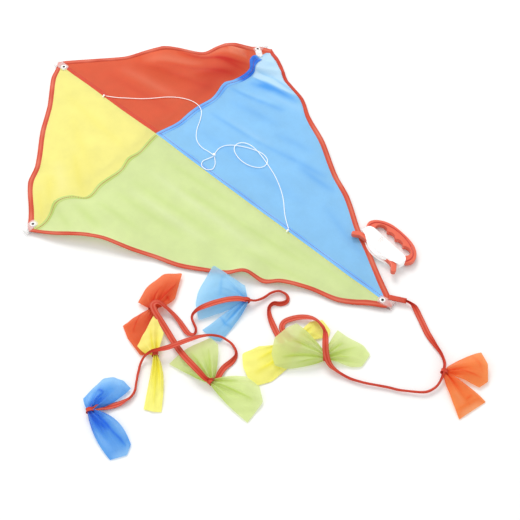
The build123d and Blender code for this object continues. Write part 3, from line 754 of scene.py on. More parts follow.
THREAD_SIDES = 5
STITCH_GAP = 3.2
# A stitch's shape: place along it, as a share of its length, and the share of its full thickness there
THREAD_SWELL = [(-0.5, 0.25), (-0.25, 0.9), (0.0, 1.0), (0.25, 0.9), (0.5, 0.25)]


def stitches(name, line, inward, gap, length, thickness, material, lift, on_seam=True):
    """A row of short threads along a line of the flat cut, as one mesh, on a seam's strip or on the tape."""
    start, finish = (np.array(p, float) for p in line)
    inward = np.array(inward, float)
    run = finish - start
    total = np.hypot(*run)
    run /= total
    count = int(total // gap)
    points, faces = [], []
    centres = np.array([start + run * gap * (i + 0.5) + inward for i in range(count)])
    clear = lift + wing_lift(centres) * on_seam
    places = sail(centres) + sail_normal(centres) * clear[:, None]
    ahead = unit(sail(centres + run) - sail(centres))
    normals = sail_normal(centres)
    for place, forward, up in zip(places, ahead, normals):
        across = np.cross(up, forward)
        first = len(points)
        for along, swell in THREAD_SWELL:
            for turn in turns(THREAD_SIDES):
                out = across * math.cos(turn) + up * math.sin(turn)
                points.append(place + forward * length * along + out * thickness * swell / 2)
        last = first + (len(THREAD_SWELL) - 1) * THREAD_SIDES
        faces += grid_faces(len(THREAD_SWELL), THREAD_SIDES, first, closed=True)
        faces.append(tuple(first + k for k in reversed(range(THREAD_SIDES))))
        faces.append(tuple(last + k for k in range(THREAD_SIDES)))
    return mesh_piece(name, points, faces, material)


SEAMS = [
    # name, start, finish, side of the seam the band lies on, width, cloth, thread, side of the kite
    ("seam_red_blue", (2, CROSS_V), (268, CROSS_V), (0, -1), 11.0, "blue", THREAD_PURPLE, 1),
    ("seam_yellow_green", (-2, CROSS_V), (-290, CROSS_V), (0, -1), 8.5, "green", THREAD_RED, -1),
]
for name, start, finish, inward, width, colour, thread, side in SEAMS:
    band = strip_on_sail(name, start, finish, inward, width, 0.3, DOUBLED[colour], 190)
    rides_side(band)
    offset = (inward[0] * width * 0.5, inward[1] * width * 0.5)
    row = stitches(f"{name}_stitches", (start, finish), offset, STITCH_GAP, 2.9, 1.0, thread, 0.55)
    rides_side(row)

SPINE_SEAMS = [
    ("seam_spine_blue", (0, CROSS_V - 3), (0, -526), (1, 0), "blue", SEAM_BLUE, THREAD_PURPLE),
    ("seam_spine_red", (0, CROSS_V + 3), (0, 232), (1, 0), "red", DOUBLED["red"], THREAD_RED),
]
for name, start, finish, inward, colour, material, thread in SPINE_SEAMS:
    band = strip_on_sail(name, start, finish, inward, SEAM_WIDTH, 0.25, material, 260)
    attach(band, "kite")
    offset = (inward[0] * SEAM_WIDTH * 0.62, 0)
    row = stitches(f"{name}_stitches", (start, finish), offset, STITCH_GAP, 2.5, 0.8, thread, 0.5)
    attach(row, "kite")

edge = strip_on_sail("seam_spine_edge", (-0.3, -26), (-0.3, -522), (-1, 0), 1.1, 0.4, SEAM_YELLOW, 260, 3)
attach(edge, "kite")

# ---------------------------------------------------------------- binding tape round the edge

TAPE_WIDTH = 7.3
TAPE_LIFT = 0.55
TAPE_LOWEST = 0.25
TAPE_STEPS = 170
# The tape's painted highlight along its crease: how pale, and how far in from the edge
TAPE_CREASE_HIGHLIGHT = -0.35
CREASE_AT = 3.0
# Where along its length a turned tape narrows, and over what share of it
TURNS_FROM, TURNS_OVER = 0.66, 0.12
# How far from the nose or tail corner each tape starts, and how much of its width is turned away
TAPE_TRIM = {"nose_right": 1.5, "nose_left": 1.5, "tail_left": 0.0, "tail_right": 5.0}
TAPE_TURNED = {"tail_right": 0.32}
# The upper half of the tape's section: distance in from the edge, and height above the cloth
TAPE_UPPER = [
    (TAPE_WIDTH, TAPE_LIFT * 0.5), (TAPE_WIDTH - 0.6, TAPE_LIFT), (5.0, TAPE_LIFT * 1.1),
    (CREASE_AT, TAPE_LIFT * 1.2), (1.0, TAPE_LIFT * 1.5), (0.0, TAPE_LIFT * 1.3),
]
TAPE_SECTION = TAPE_UPPER + [(-0.7, 0.0)] + [(distance, -lift) for distance, lift in reversed(TAPE_UPPER)]


def tape_along(name, start, finish, steps, turned):
    """Folded tape over one edge of the sail, slightly puckered; turned narrows its far end."""
    start, finish = np.array(start, float), np.array(finish, float)
    run = (finish - start) / np.hypot(*(finish - start))
    inward = np.array([-run[1], run[0]])
    if inward @ (np.array([0, CROSS_V]) - start) < 0:
        inward = -inward
    flats, lifts, painted_shading = [], [], []
    for i in range(steps + 1):
        at = start + (finish - start) * i / steps
        pucker = 1.0 + 0.10 * math.sin(i * 0.9) + 0.06 * math.sin(i * 2.3 + 1)
        narrow = 1.0 - turned * min(1.0, max(0.0, (i / steps - TURNS_FROM) / TURNS_OVER))
        for distance, lift in TAPE_SECTION:
            flats.append(at + inward * distance * narrow)
            lifts.append(lift * pucker)
            # Painted highlight along the crease, painted shade where a turned tape narrows, and a faint wavy
            # painted shade
            line = TAPE_CREASE_HIGHLIGHT * (distance == CREASE_AT)
            painted_shading.append((1 - narrow) * 1.8 + line + 0.15 * math.sin(i * 0.31) * math.sin(i * 0.083 + 2))
    flats, lifts = np.array(flats), np.array(lifts)
    places = sail(flats) + sail_normal(flats) * lifts[:, None]
    places[:, 2] = np.maximum(places[:, 2], TAPE_LOWEST)
    tape = mesh_piece(name, places, grid_faces(steps + 1, len(TAPE_SECTION), closed=True), TAPE_CLOTH)
    return punch(paint_shade_and_light(tape, painted_shading)), inward


for colour, (side, end, where) in QUARTERS.items():
    wing = np.array([side * WING_X, CROSS_V], float)
    tip = np.array(end, float)
    ahead = (wing - tip) / np.hypot(*(wing - tip))
    start, finish = tip + ahead * TAPE_TRIM[where], wing + ahead * 0.5
    turned = TAPE_TURNED.get(where, 0.0)
    tape, inward = tape_along(f"binding_{where}_tape", start, finish, TAPE_STEPS, turned)
    rides_side(tape)
    nodes = [f"binding_{where}"] + ([f"binding_corner_{SIDE_WORD[side]}"] if end is NOSE else [])
    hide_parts(*nodes)
    row = stitches(
        f"binding_{where}_stitches", (tip + ahead * 8, wing - ahead * 8), inward * (TAPE_WIDTH - 1.8),
        3.4, 2.4, 0.5, THREAD_RED, TAPE_LIFT * 1.1 + 0.12, on_seam=False,
    )
    rides_side(row)

# ---------------------------------------------------------------- corner pockets and eyelets

POCKET_HALF_WIDTH = 7.4
POCKET_TOP = 7.35
POCKET_BOTTOM = 0.35
POCKET_BACK = 8.0
STRIP_THICK = 0.0004
STRIP_COLUMNS = 9
STRIP_ROUND, STRIP_SAG, STRIP_NARROWEST = 5.0, 0.35, 0.12
POCKETS = {
    # name: eyelet place, outward direction, reach from eyelet to tip, body
    "pocket_nose": ((0, 236), (0, 1), 21.0, "kite"),
    "pocket_tail": ((0, -530), (0.19, -0.982), 19.0, "kite"),
    "pocket_right_wing": ((280, 0), (1, 0), 20.5, "right_wing_pocket"),
    "pocket_left_wing": ((-280, 0), (-1, 0), 20.5, "left_wing_pocket"),
}


def pocket_strip(name, eyelet, out, reach):
    """A clear strip folded round a corner, its upper end rounded past the eyelet."""
    out = np.array([*out, 0.0])
    across = np.array([-out[1], out[0], 0.0])
    centre = np.array([*eyelet, 0.0])
    bend = POCKET_TOP / 2
    straight = reach - bend
    # The strip's side view, under the rod, round the corner and back over the sail: distance out, height
    side_view = [(-POCKET_BACK + k * (straight + POCKET_BACK) / 14, POCKET_BOTTOM) for k in range(15)]
    for k in range(1, 9):
        turn = math.pi * k / 9
        height = POCKET_BOTTOM + (POCKET_TOP - POCKET_BOTTOM) * (1 - math.cos(turn)) / 2
        side_view.append((straight + bend * math.sin(turn), height))
    side_view += [(straight - k * (straight + POCKET_BACK) / 24, POCKET_TOP) for k in range(25)]
    points = []
    last = len(side_view) - 1
    for i, (along, z) in enumerate(side_view):
        ends_in = min(i, last - i) / last * (2 * reach + 20)
        rounding = math.sqrt(1 - max(0.0, 1 - ends_in / STRIP_ROUND) ** 2) if i > last / 2 else 1.0
        for share in side_to_side(STRIP_COLUMNS):
            sag = STRIP_SAG * math.sin(along * 0.35 + share) * (1 - share**2)
            lift = sag if z > 1 else 0.0
            side = across * share * POCKET_HALF_WIDTH * max(rounding, STRIP_NARROWEST)
            points.append(centre + out * along + side + np.array([0, 0, z + lift]))
    material = CLEAR if out[1] >= 0 else TINTED
    strip = mesh_piece(name + "_strip", points, grid_faces(len(side_view), STRIP_COLUMNS), material)
    return thick(punch(strip), STRIP_THICK)


# The ring's section, from inside the bore round its flange to the roll at the back: radius, height
EYELET_PROFILE = [
    (2.25, 4.9), (2.25, 6.0), (2.25, 7.3), (2.4, 7.75), (2.8, 8.0), (3.3, 8.06), (4.0, 7.98), (4.6, 7.8),
    (5.0, 7.55), (5.1, 7.3), (4.9, 7.15), (3.2, 7.15), (2.7, 7.05), (2.7, 5.3), (3.4, 5.2), (4.1, 5.1),
    (4.2, 4.95), (4.0, 4.82), (2.6, 4.8),
]
EYELET_STEPS = 40


def eyelet_ring(name, x, y):
    """A rolled ring eyelet: rounded flange on the face, tube through, small roll at the back."""
    points = []
    for turn in turns(EYELET_STEPS):
        for radius, z in EYELET_PROFILE:
            points.append((x + radius * math.cos(turn), y + radius * math.sin(turn), z))
    across = len(EYELET_PROFILE)
    faces = grid_faces(EYELET_STEPS, across, closed=True, looped=True)
    ring = mesh_piece(name + "_ring", points, faces, EYELET_WHITE)
    ring.data.materials.append(CAP_BLACK_AND_BORE_SHADOW)
    # The bore's inner wall is black: a painted shadow for the dark inside of the hole
    bore = {0, 1, across - 1}
    for number, face in enumerate(ring.data.polygons):
        face.material_index = 1 if number % across in bore else 0
    return ring


for name, (eyelet, out, reach, body) in POCKETS.items():
    strip = pocket_strip(name, eyelet, out, reach)
    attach(strip, body)
    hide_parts(name)
    ring_name = name.replace("pocket", "eyelet")
    ring = eyelet_ring(ring_name, *eyelet)
    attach(ring, body)
    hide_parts(ring_name)

TAB_FROM, TAB_TO, TAB_HALF = np.array([281.5, 1.5]), np.array([265.5, -19.0]), 6.0
TAB_START, TAB_LOWEST, TAB_CLEAR, TAB_ROUND, TAB_ROWS = 6.6, 7.9, 0.9, 4.0, 19


def pocket_tab():
    """The loose upper end of the right wing's strip, which lies askew over the cloth."""
    reach = np.hypot(*(TAB_TO - TAB_FROM))
    ahead = (TAB_TO - TAB_FROM) / reach
    across = np.array([-ahead[1], ahead[0]])
    points = []
    for i in range(TAB_ROWS):
        along = TAB_START + (reach - TAB_START) * i / (TAB_ROWS - 1)
        half = TAB_HALF * math.sqrt(max(0.02, 1 - max(0.0, 1 - (reach - along) / TAB_ROUND) ** 2))
        for share in side_to_side(STRIP_COLUMNS):
            place = TAB_FROM + ahead * along + across * half * share
            points.append((*place, max(TAB_LOWEST, cover_height(*place) + TAB_CLEAR)))
    tab = mesh_piece("pocket_right_wing_tab", points, grid_faces(TAB_ROWS, STRIP_COLUMNS), MILKY)
    return thick(tab, STRIP_THICK)


tab = pocket_tab()
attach(tab, "right_wing_pocket")

for material, nodes in (
    (ROD_BLACK, ("spine_rod", "cross_spar")),
    (FITTING_BLACK, ("centre_cross_fitting",)),
    (CAP_BLACK_AND_BORE_SHADOW, ("spine_cap_nose", "spine_cap_tail", "spar_cap_left", "spar_cap_right")),
    (WINDER_RED, ("winder_body",)),
    (STRING, ("bridle_knot", "bridle_tie_nose", "bridle_tie_tail")),
):
    for node in nodes:
        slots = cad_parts[node].data.materials
        slots.clear()
        slots.append(material)

# ---------------------------------------------------------------- cords


def route_curve(name, points_mm, radius_mm, material):
    """A smooth curve whose control points are the route's own."""
    curve = bpy.data.curves.new(name, "CURVE")
    curve.dimensions = "3D"
    line = curve.splines.new("NURBS")
    line.points.add(len(points_mm) - 1)
    for point, place in zip(line.points, points_mm):
        point.co = (place[0] * MM, place[1] * MM, place[2] * MM, 1.0)
    line.order_u = 3
    line.use_endpoint_u = True
    line.resolution_u = 10
    curve.bevel_depth = radius_mm * MM
    curve.bevel_resolution = 3
    curve.use_fill_caps = True
    curve.materials.append(material)
    obj = bpy.data.objects.new(name, curve)
    bpy.context.collection.objects.link(obj)
    return obj


def line_of(curve_obj):
    """The points along a curve's own line, in metres."""
    bare = curve_obj.copy()
    bare.data = curve_obj.data.copy()
    bare.data.bevel_depth = 0
    mesh = bpy.data.meshes.new_from_object(bare)
    points = [tuple(v.co) for v in mesh.vertices]
    bpy.data.meshes.remove(mesh)
    bpy.data.curves.remove(bare.data)
    return np.array(points)


STRING_RADIUS = 0.6
STRING_CLEAR = 1.1
# Plan positions, and any extra height where the string rises over itself
BRIDLE_FRONT = [
    (3, 123), (12, 107), (26, 91), (40, 73), (58, 56), (77, 39), (93, 17), (102, -8), (97, -31), (78, -46),
    (56, -57), (38, -73), (32, -93), (35, -110), (34, -119.5),
]
TOW_LOOP = [
    (31.5, -122), (22, -119), (11, -115), (2, -121), (1, -133), (9, -142), (20, -138), (28, -130),
    (32.5, -124),
]
BRIDLE_REAR = [
    (36, -120.5), (48, -116), (61, -117), (73, -126), (83, -143), (91, -163), (96, -185), (88, -203),
    (71, -204), (59, -187), (57, -164), (63, -143), (75, -132), (89, -136), (95, -154), (91, -178),
    (83, -205), (72, -234), (58, -258), (43, -278), (24, -297), (12, -312), (4, -324),
]
HUMPS = {11: 1.6, 12: 1.6, 14: 1.6, 15: 1.6}


def resting_on_sail(points, humps):
    """Plan points laid on the cloth, clear of it by a string's thickness."""
    return [
        (x, y, cover_height(x, y) + STRING_RADIUS + STRING_CLEAR + humps.get(i, 0))
        for i, (x, y) in enumerate(points)
    ]


for name, points, humps, length, ends in (
    ("bridle_front_leg", BRIDLE_FRONT, {}, 0.307, ["bridle_tie_nose", "bridle_knot"]),
    ("bridle_tow_loop", TOW_LOOP, {}, 0.083, []),
    ("bridle_rear_leg", BRIDLE_REAR, HUMPS, 0.445, ["bridle_tie_tail"]),
):
    laid = resting_on_sail(points, humps)
    cord = route_curve(name + "_string", laid, STRING_RADIUS, STRING)
    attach(cord, "kite")
    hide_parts(name)
    first = line_of(cord)[0]

# ---------------------------------------------------------------- tail ribbon

RIBBON_HALF = 5.0
# Plan place, height of its middle, and how far it leans on edge (0 flat, 90 upright)
TAIL_ROUTE = [
    (23, -556, 7.5, 10), (26.5, -564, 7.0, 40), (27, -574, 5, 30), (20, -588, 2.3, 8), (11, -604, 2.3, 5),
    (1, -621, 2.6, 15), (-6, -639, 3.6, 35), (-12, -657, 5, 60), (-22, -672, 8, 75), (-38, -682, 12, 60),
    (-54, -689, 8, 70), (-71, -689, 5.6, 80), (-86, -682, 5.6, 84), (-97, -667, 5.2, 68),
    (-108, -651, 4.4, 50), (-117, -632, 4.2, 45), (-129, -614, 4.6, 55), (-139, -595, 4.8, 60),
    (-146, -575, 4.2, 50), (-149, -557, 5, 35), (-149, -543, 11, 12), (-142, -530, 21, 0),
    (-131, -520, 29, 0), (-119, -510, 26, 0), (-110, -500, 17, 5), (-104, -488, 11, 50),
    (-101, -473, 9, 30), (-109, -458, 8, 5), (-123, -445, 5, 0), (-136, -438, 2.6, 5),
    (-147, -443, 3.2, 30), (-152, -456, 4, 40), (-152, -472, 4, 25), (-153, -484, 5, 20),
    (-161, -489, 5, 20), (-168, -480, 4, 20), (-167, -464, 2.4, 10), (-160, -447, 2.3, 0),
    (-152, -430, 2.3, 0), (-143, -413, 2.8, 20), (-133, -402, 4.2, 50), (-121, -402, 4.8, 62),
    (-115, -413, 4.2, 50), (-104, -418, 4, 45), (-95, -410, 4.2, 50), (-96, -397, 4.8, 64),
    (-108, -388, 5.2, 72), (-124, -386, 5.2, 72), (-138, -381, 6.5, 60), (-149, -374, 12, 20),
    (-158, -363, 18, 0), (-171, -352, 19, 0), (-187, -342, 19, 0), (-204, -332, 17, 0),
    (-220, -325, 12, 12), (-231, -326, 7, 70), (-236, -337, 5.4, 82), (-241, -348, 4.8, 62),
    (-250, -352, 3.6, 40), (-255, -343, 2.6, 18), (-251, -328, 2.4, 12), (-247, -312, 3.4, 28),
    (-245, -296, 5, 32), (-247, -281, 11, 28), (-250, -270, 17, 10), (-260, -267, 18, 0),
    (-266, -279, 16, 5), (-270, -297, 12, 10), (-275, -316, 8, 12), (-281, -335, 7, 12),
    (-287, -354, 9, 15), (-292, -373, 14, 12), (-295, -392, 17.5, 10), (-297, -411, 17, 15),
    (-298, -426, 14, 30), (-289, -435, 11, 50), (-276, -430, 6, 20), (-260, -425, 2.6, 5),
    (-244, -428, 3.6, 32), (-230, -424, 4.8, 62), (-222, -411, 5.2, 76), (-222, -396, 5.6, 72),
    (-227, -382, 9, 60), (-239, -372, 14, 42), (-255, -364, 18, 20), (-271, -356, 19, 14),
    (-286, -349, 18.5, 10), (-299, -343, 17, 5), (-311, -335, 16, 5), (-321, -326, 14, 30),
    (-333, -323, 9, 70), (-345, -327, 5.6, 82), (-357, -335, 5.4, 82), (-369, -344, 5.4, 82),
    (-381, -354, 5.4, 78), (-394, -358, 4.8, 60), (-408, -354, 2.8, 20), (-422, -347, 2.8, 0),
    (-436, -338, 7, 0), (-448, -330, 12, 0),
]
# Where the ribbon curls up on itself lengthwise: route point, then the angle its width curls through
RIBBON_CURLS = [
    (0, 260), (1, 320), (2, 120), (3, 20), (5, 40), (6, 140), (7, 220), (9, 260), (10, 290), (13, 320),
    (14, 310), (16, 300), (18, 240), (19, 60), (20, 30), (22, 30), (23, 140), (24, 270), (25, 120),
    (26, 40), (28, 30), (31, 40), (33, 30), (36, 20), (38, 40), (39, 120), (40, 200), (42, 120), (43, 150),
    (45, 190), (47, 235), (48, 225), (49, 110), (50, 25), (53, 30), (54, 180), (55, 300), (57, 310),
    (58, 140), (59, 20), (61, 60), (63, 110), (64, 60), (65, 30), (67, 40), (72, 50), (73, 90), (74, 170),
    (75, 150), (76, 60), (78, 60), (79, 180), (80, 290), (81, 320), (82, 290), (83, 120), (85, 40),
    (87, 60), (88, 150), (90, 310), (94, 310), (95, 150), (96, 30), (99, 20),
]
# Painted shade on the ribbon from its middle line out to its edge: above 0 deeper, below 0 paler as painted
# light
RIBBON_SHADE = [0.6, 0.05, -0.4, -0.1, 0.35]
RIBBON_COLUMNS = 9
RIBBON_THICK = 0.0003
RIBBON_LOWEST = 0.35
FLATTEST_CURL = 12


def section_of(curl):
    """The ribbon's cross-section as places across and out, centred, for the angle its width curls through."""
    angle = math.radians(max(curl, FLATTEST_CURL))
    radius = 2 * RIBBON_HALF / angle
    sweep = np.linspace(-angle / 2, angle / 2, RIBBON_COLUMNS)
    across, out = radius * np.sin(sweep), radius * (1 - np.cos(sweep))
    return np.column_stack([across, out - out.mean()])


def ribbon_mesh(name, line_m, route, material):
    """A flat ribbon that follows a line, leaning and curling as the route says."""
    line = line_m / MM
    controls = np.array(route, float)
    # The line's point nearest to each route point, looked for ahead of the one before
    nearest, last = [], 0
    for place in controls[:, :3]:
        last += int(np.argmin(((line[last:last + 60] - place) ** 2).sum(1)))
        nearest.append(last)
    steps = np.arange(len(line))
    lean = np.interp(steps, nearest, controls[:, 3])
    curl = np.interp(steps, [nearest[k] for k, _ in RIBBON_CURLS], [angle for _, angle in RIBBON_CURLS])
    even = np.ones(11) / 11
    lean, curl = (np.convolve(np.pad(values, 5, mode="edge"), even, mode="valid") for values in (lean, curl))
    tangent = unit(np.gradient(line, axis=0))
    level = np.cross(np.array([0, 0, 1.0]), tangent)
    level /= np.maximum(np.linalg.norm(level, axis=1), 1e-6)[:, None]
    up = np.cross(tangent, level)
    points, painted_shading = [], []
    for i, (place, side, over) in enumerate(zip(line, level, up)):
        angle = math.radians(lean[i])
        across = side * math.cos(angle) + over * math.sin(angle)
        out = over * math.cos(angle) - side * math.sin(angle)
        ripple = 0.25 * math.sin(i * 0.21) + 0.15 * math.sin(i * 0.53 + 1)
        for j, (a, b) in enumerate(section_of(curl[i])):
            point = place + across * a + out * (b + ripple * (1 if j % 8 else 0.4))
            point[2] = max(point[2], RIBBON_LOWEST)
            points.append(point)
            # Painted shade, deeper where the ribbon curls, plus the painted shade and light across it
            painted_shading.append(min(0.6, curl[i] / 330) + RIBBON_SHADE[abs(j - 4)])
    ribbon = paint_shade_and_light(mesh_piece(name, points, grid_faces(len(line), RIBBON_COLUMNS), material), painted_shading)
    return thick(ribbon, RIBBON_THICK)


guide = route_curve("tail_line", [p[:3] for p in TAIL_ROUTE], 0.0, RIBBON_CLOTH)
TAIL_LINE = line_of(guide)
bpy.data.objects.remove(guide)
ribbon = ribbon_mesh("tail_ribbon_strip", TAIL_LINE, TAIL_ROUTE, RIBBON_CLOTH)
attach(ribbon, "kite")
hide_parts("tail_ribbon")

ANCHOR_FROM = np.array([11.0, -534.5])
ANCHOR_TO = np.array([23.0, -557.0])
ANCHOR_COLUMNS = 7
ANCHOR_HALF, ANCHOR_OVERLAP, ANCHOR_LOW, ANCHOR_TURN = 4.7, 3.0, 6.95, 0.55
ANCHOR_STITCHES, STITCH_HALF, STITCH_RADIUS, STITCH_Z = (16.0, 19.0, 22.0), 4.3, 0.3, 8.35


def ribbon_anchor():
    """The ribbon's doubled end, stitched at the tail corner: a flattened loop of the same ribbon."""
    run = ANCHOR_TO - ANCHOR_FROM
    length = np.hypot(*run)
    ahead = np.array([*(run / length), 0])
    across = np.array([-ahead[1], ahead[0], 0])
    end = length + ANCHOR_OVERLAP
    loop = [(end * (1 - k / 10), ANCHOR_LOW) for k in range(11)]
    for k in range(1, 5):
        turn = math.pi * k / 5
        loop.append((-ANCHOR_TURN * math.sin(turn), ANCHOR_LOW + ANCHOR_TURN * (1 - math.cos(turn))))
    loop += [(end * k / 10, ANCHOR_LOW + 2 * ANCHOR_TURN + 0.12 * math.sin(k * 1.3)) for k in range(11)]
    points = []
    for along, z in loop:
        for share in side_to_side(ANCHOR_COLUMNS):
            edge = 0.15 * math.sin(along * 0.8 + share)
            side = across * (ANCHOR_HALF * share + edge)
            points.append(np.array([*ANCHOR_FROM, 0]) + ahead * along + side + np.array([0, 0, z]))
    faces = grid_faces(len(loop), ANCHOR_COLUMNS)
    band = mesh_piece("tail_ribbon_anchor_loop", points, faces, RIBBON_CLOTH)
    return thick(paint_shade_and_light(band, [0.15] * len(points)), RIBBON_THICK), ahead, across


anchor, anchor_ahead, anchor_across = ribbon_anchor()
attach(anchor, "kite")
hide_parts("tail_ribbon_anchor")


BAR_ROWS, BAR_SIDES = 9, 8


def thread_bar(name, start, finish, radius, material):
    """One short thread between two places, as a tapered tube in millimetres."""
    start, finish = np.array(start, float), np.array(finish, float)
    ahead = unit(finish - start)
    side = unit(np.cross(ahead, [0, 0, 1.0]))
    over = np.cross(side, ahead)
    points = []
    for k in range(BAR_ROWS):
        share = k / (BAR_ROWS - 1)
        swell = radius * (0.35 + 0.65 * math.sin(math.pi * share) ** 0.5)
        centre = start + (finish - start) * share
        for turn in turns(BAR_SIDES):
            points.append(centre + side * swell * math.cos(turn) + over * swell * math.sin(turn))
    return mesh_piece(name, points, grid_faces(BAR_ROWS, BAR_SIDES, closed=True), material)


for k, along in enumerate(ANCHOR_STITCHES):
    middle = np.array([*ANCHOR_FROM, STITCH_Z]) + anchor_ahead * along
    reach = anchor_across * STITCH_HALF
    bar = thread_bar(f"anchor_stitch_{k + 1}", middle - reach, middle + reach, STITCH_RADIUS, THREAD_RED)
    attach(bar, "kite")

# ---------------------------------------------------------------- bows

# Each bow: the neck's place and width, then its two lobes. Each lobe: a place on its left side, its far edge
# from left to right, a place on its right side, the number of pleats, their depth and how much it puffs up
BOWS = {
    "bow_1_red": ((-38, -683, 8), 9, [
        ((-14, -680, 10), [(29, -704, 8), (16, -725, 12), (-5, -742, 5), (-22, -738, 4)],
         (-28, -708, 6), 5, 2.2, 5),
        ((-58, -704, 8), [(-85, -747, 2), (-34, -759, 2)], (-28, -722, 6), 4, 1.6, 4),
    ]),
    "bow_2_green": ((-143, -531, 9), 10, [
        ((-174, -520, 6), [(-198, -498, 5), (-208, -484, 11), (-198, -468, 18), (-176, -455, 22),
                           (-148, -456, 21), (-130, -460, 15)], (-130, -490, 20), 7, 2.2, 8),
        ((-120, -517, 12), [(-94, -515, 12), (-93, -530, 10), (-84, -560, 4), (-89, -578, 3),
                            (-115, -582, 3), (-126, -571, 3)], (-136, -550, 5), 7, 2.4, 3),
    ]),
    "bow_3_yellow": ((-150, -480, 4), 9, [
        ((-176, -458, 5), [(-195, -440, 3), (-223, -429, 3), (-240, -447, 4), (-248, -464, 3),
                           (-250, -483, 2), (-228, -496, 2), (-195, -499, 2)], (-176, -492, 3), 8, 1.8, 3),
        ((-130, -468, 5), [(-108, -470, 5), (-92, -482, 4), (-97, -503, 2), (-108, -509, 2)],
         (-130, -494, 3), 5, 1.6, 2),
    ]),
    "bow_4_blue": ((-150, -370, 10), 9, [
        ((-188, -360, 9), [(-226, -337, 5), (-209, -314, 9), (-192, -303, 12), (-138, -286, 15),
                           (-131, -350, 11)], (-140, -362, 12), 6, 1.6, 3),
        ((-176, -362, 8), [(-234, -353, 2), (-236, -377, 2), (-230, -389, 2)], (-182, -386, 6), 4, 1.8, 4),
    ]),
    "bow_5_red": ((-262, -271, 10), 10, [
        ((-267, -257, 8), [(-268, -242, 5), (-241, -234, 9), (-203, -236, 10), (-180, -256, 7),
                           (-204, -270, 8), (-222, -281, 5)], (-240, -285, 6), 7, 2.0, 5),
        ((-286, -257, 5), [(-314, -255, 2), (-325, -278, 3), (-333, -315, 3), (-311, -327, 2)],
         (-272, -300, 4), 5, 1.5, 2),
    ]),
    "bow_6_green": ((-294, -431, 10), 8, [
        ((-308, -392, 7), [(-313, -358, 3), (-278, -361, 8), (-238, -376, 10), (-239, -393, 9)],
         (-262, -417, 8), 6, 2.4, 3),
        ((-270, -438, 12), [(-252, -465, 11), (-249, -490, 9), (-264, -511, 5), (-304, -516, 2)],
         (-306, -472, 6), 6, 2.4, 4),
    ]),
    "bow_7_yellow": ((-318, -333, 9), 7, [
        ((-330, -316, 8), [(-326, -301, 8), (-268, -281, 13), (-283, -317, 11)], (-304, -330, 10), 5, 1.8, 2),
        ((-344, -350, 8), [(-394, -385, 2), (-387, -399, 2), (-379, -408, 2)], (-324, -366, 9), 6, 2.0, 2),
    ]),
    "bow_8_blue": ((-452, -330, 9), 9, [
        ((-452, -316, 10), [(-445, -307, 9), (-402, -306, 12), (-389, -316, 11), (-383, -331, 9),
                            (-383, -346, 5)], (-408, -350, 6), 6, 2.4, 3),
        ((-480, -362, 6), [(-485, -408, 2), (-463, -421, 2), (-447, -413, 3)], (-424, -366, 13), 6, 2.4, 4),
    ]),
}
LOBE_ROWS = 34
LOBE_COLUMNS = 72
PLEAT_HEIGHT = 1.7
LOBE_CRUMPLES = 9
LOBE_CRUMPLE_HEIGHT = 0.22
LOBE_LOWEST, LOBE_CONTACT = 0.5, 0.7
FOLD_WIDTH, PALE_WIDTH = 2.2, 8.0
WRAP_STEPS, WRAP_COLUMNS = 28, 6
WRAP_CLEAR, WRAP_TALLEST, WRAP_LOWEST = 0.9, 4.2, 0.9
WRAP_THICK = 0.0005


def along_polyline(points, shares):
    """Places along a polyline at shares of its length, its corners slightly eased."""
    points = np.array(points, float)
    reach = np.concatenate([[0], np.cumsum(np.linalg.norm(np.diff(points, axis=0), axis=1))])
    places = np.stack([np.interp(shares * reach[-1], reach, points[:, k]) for k in range(3)], axis=1)
    eased = places.copy()
    for _ in range(4):
        eased[1:-1] = eased[1:-1] * 0.5 + (eased[:-2] + eased[2:]) * 0.25
    return eased


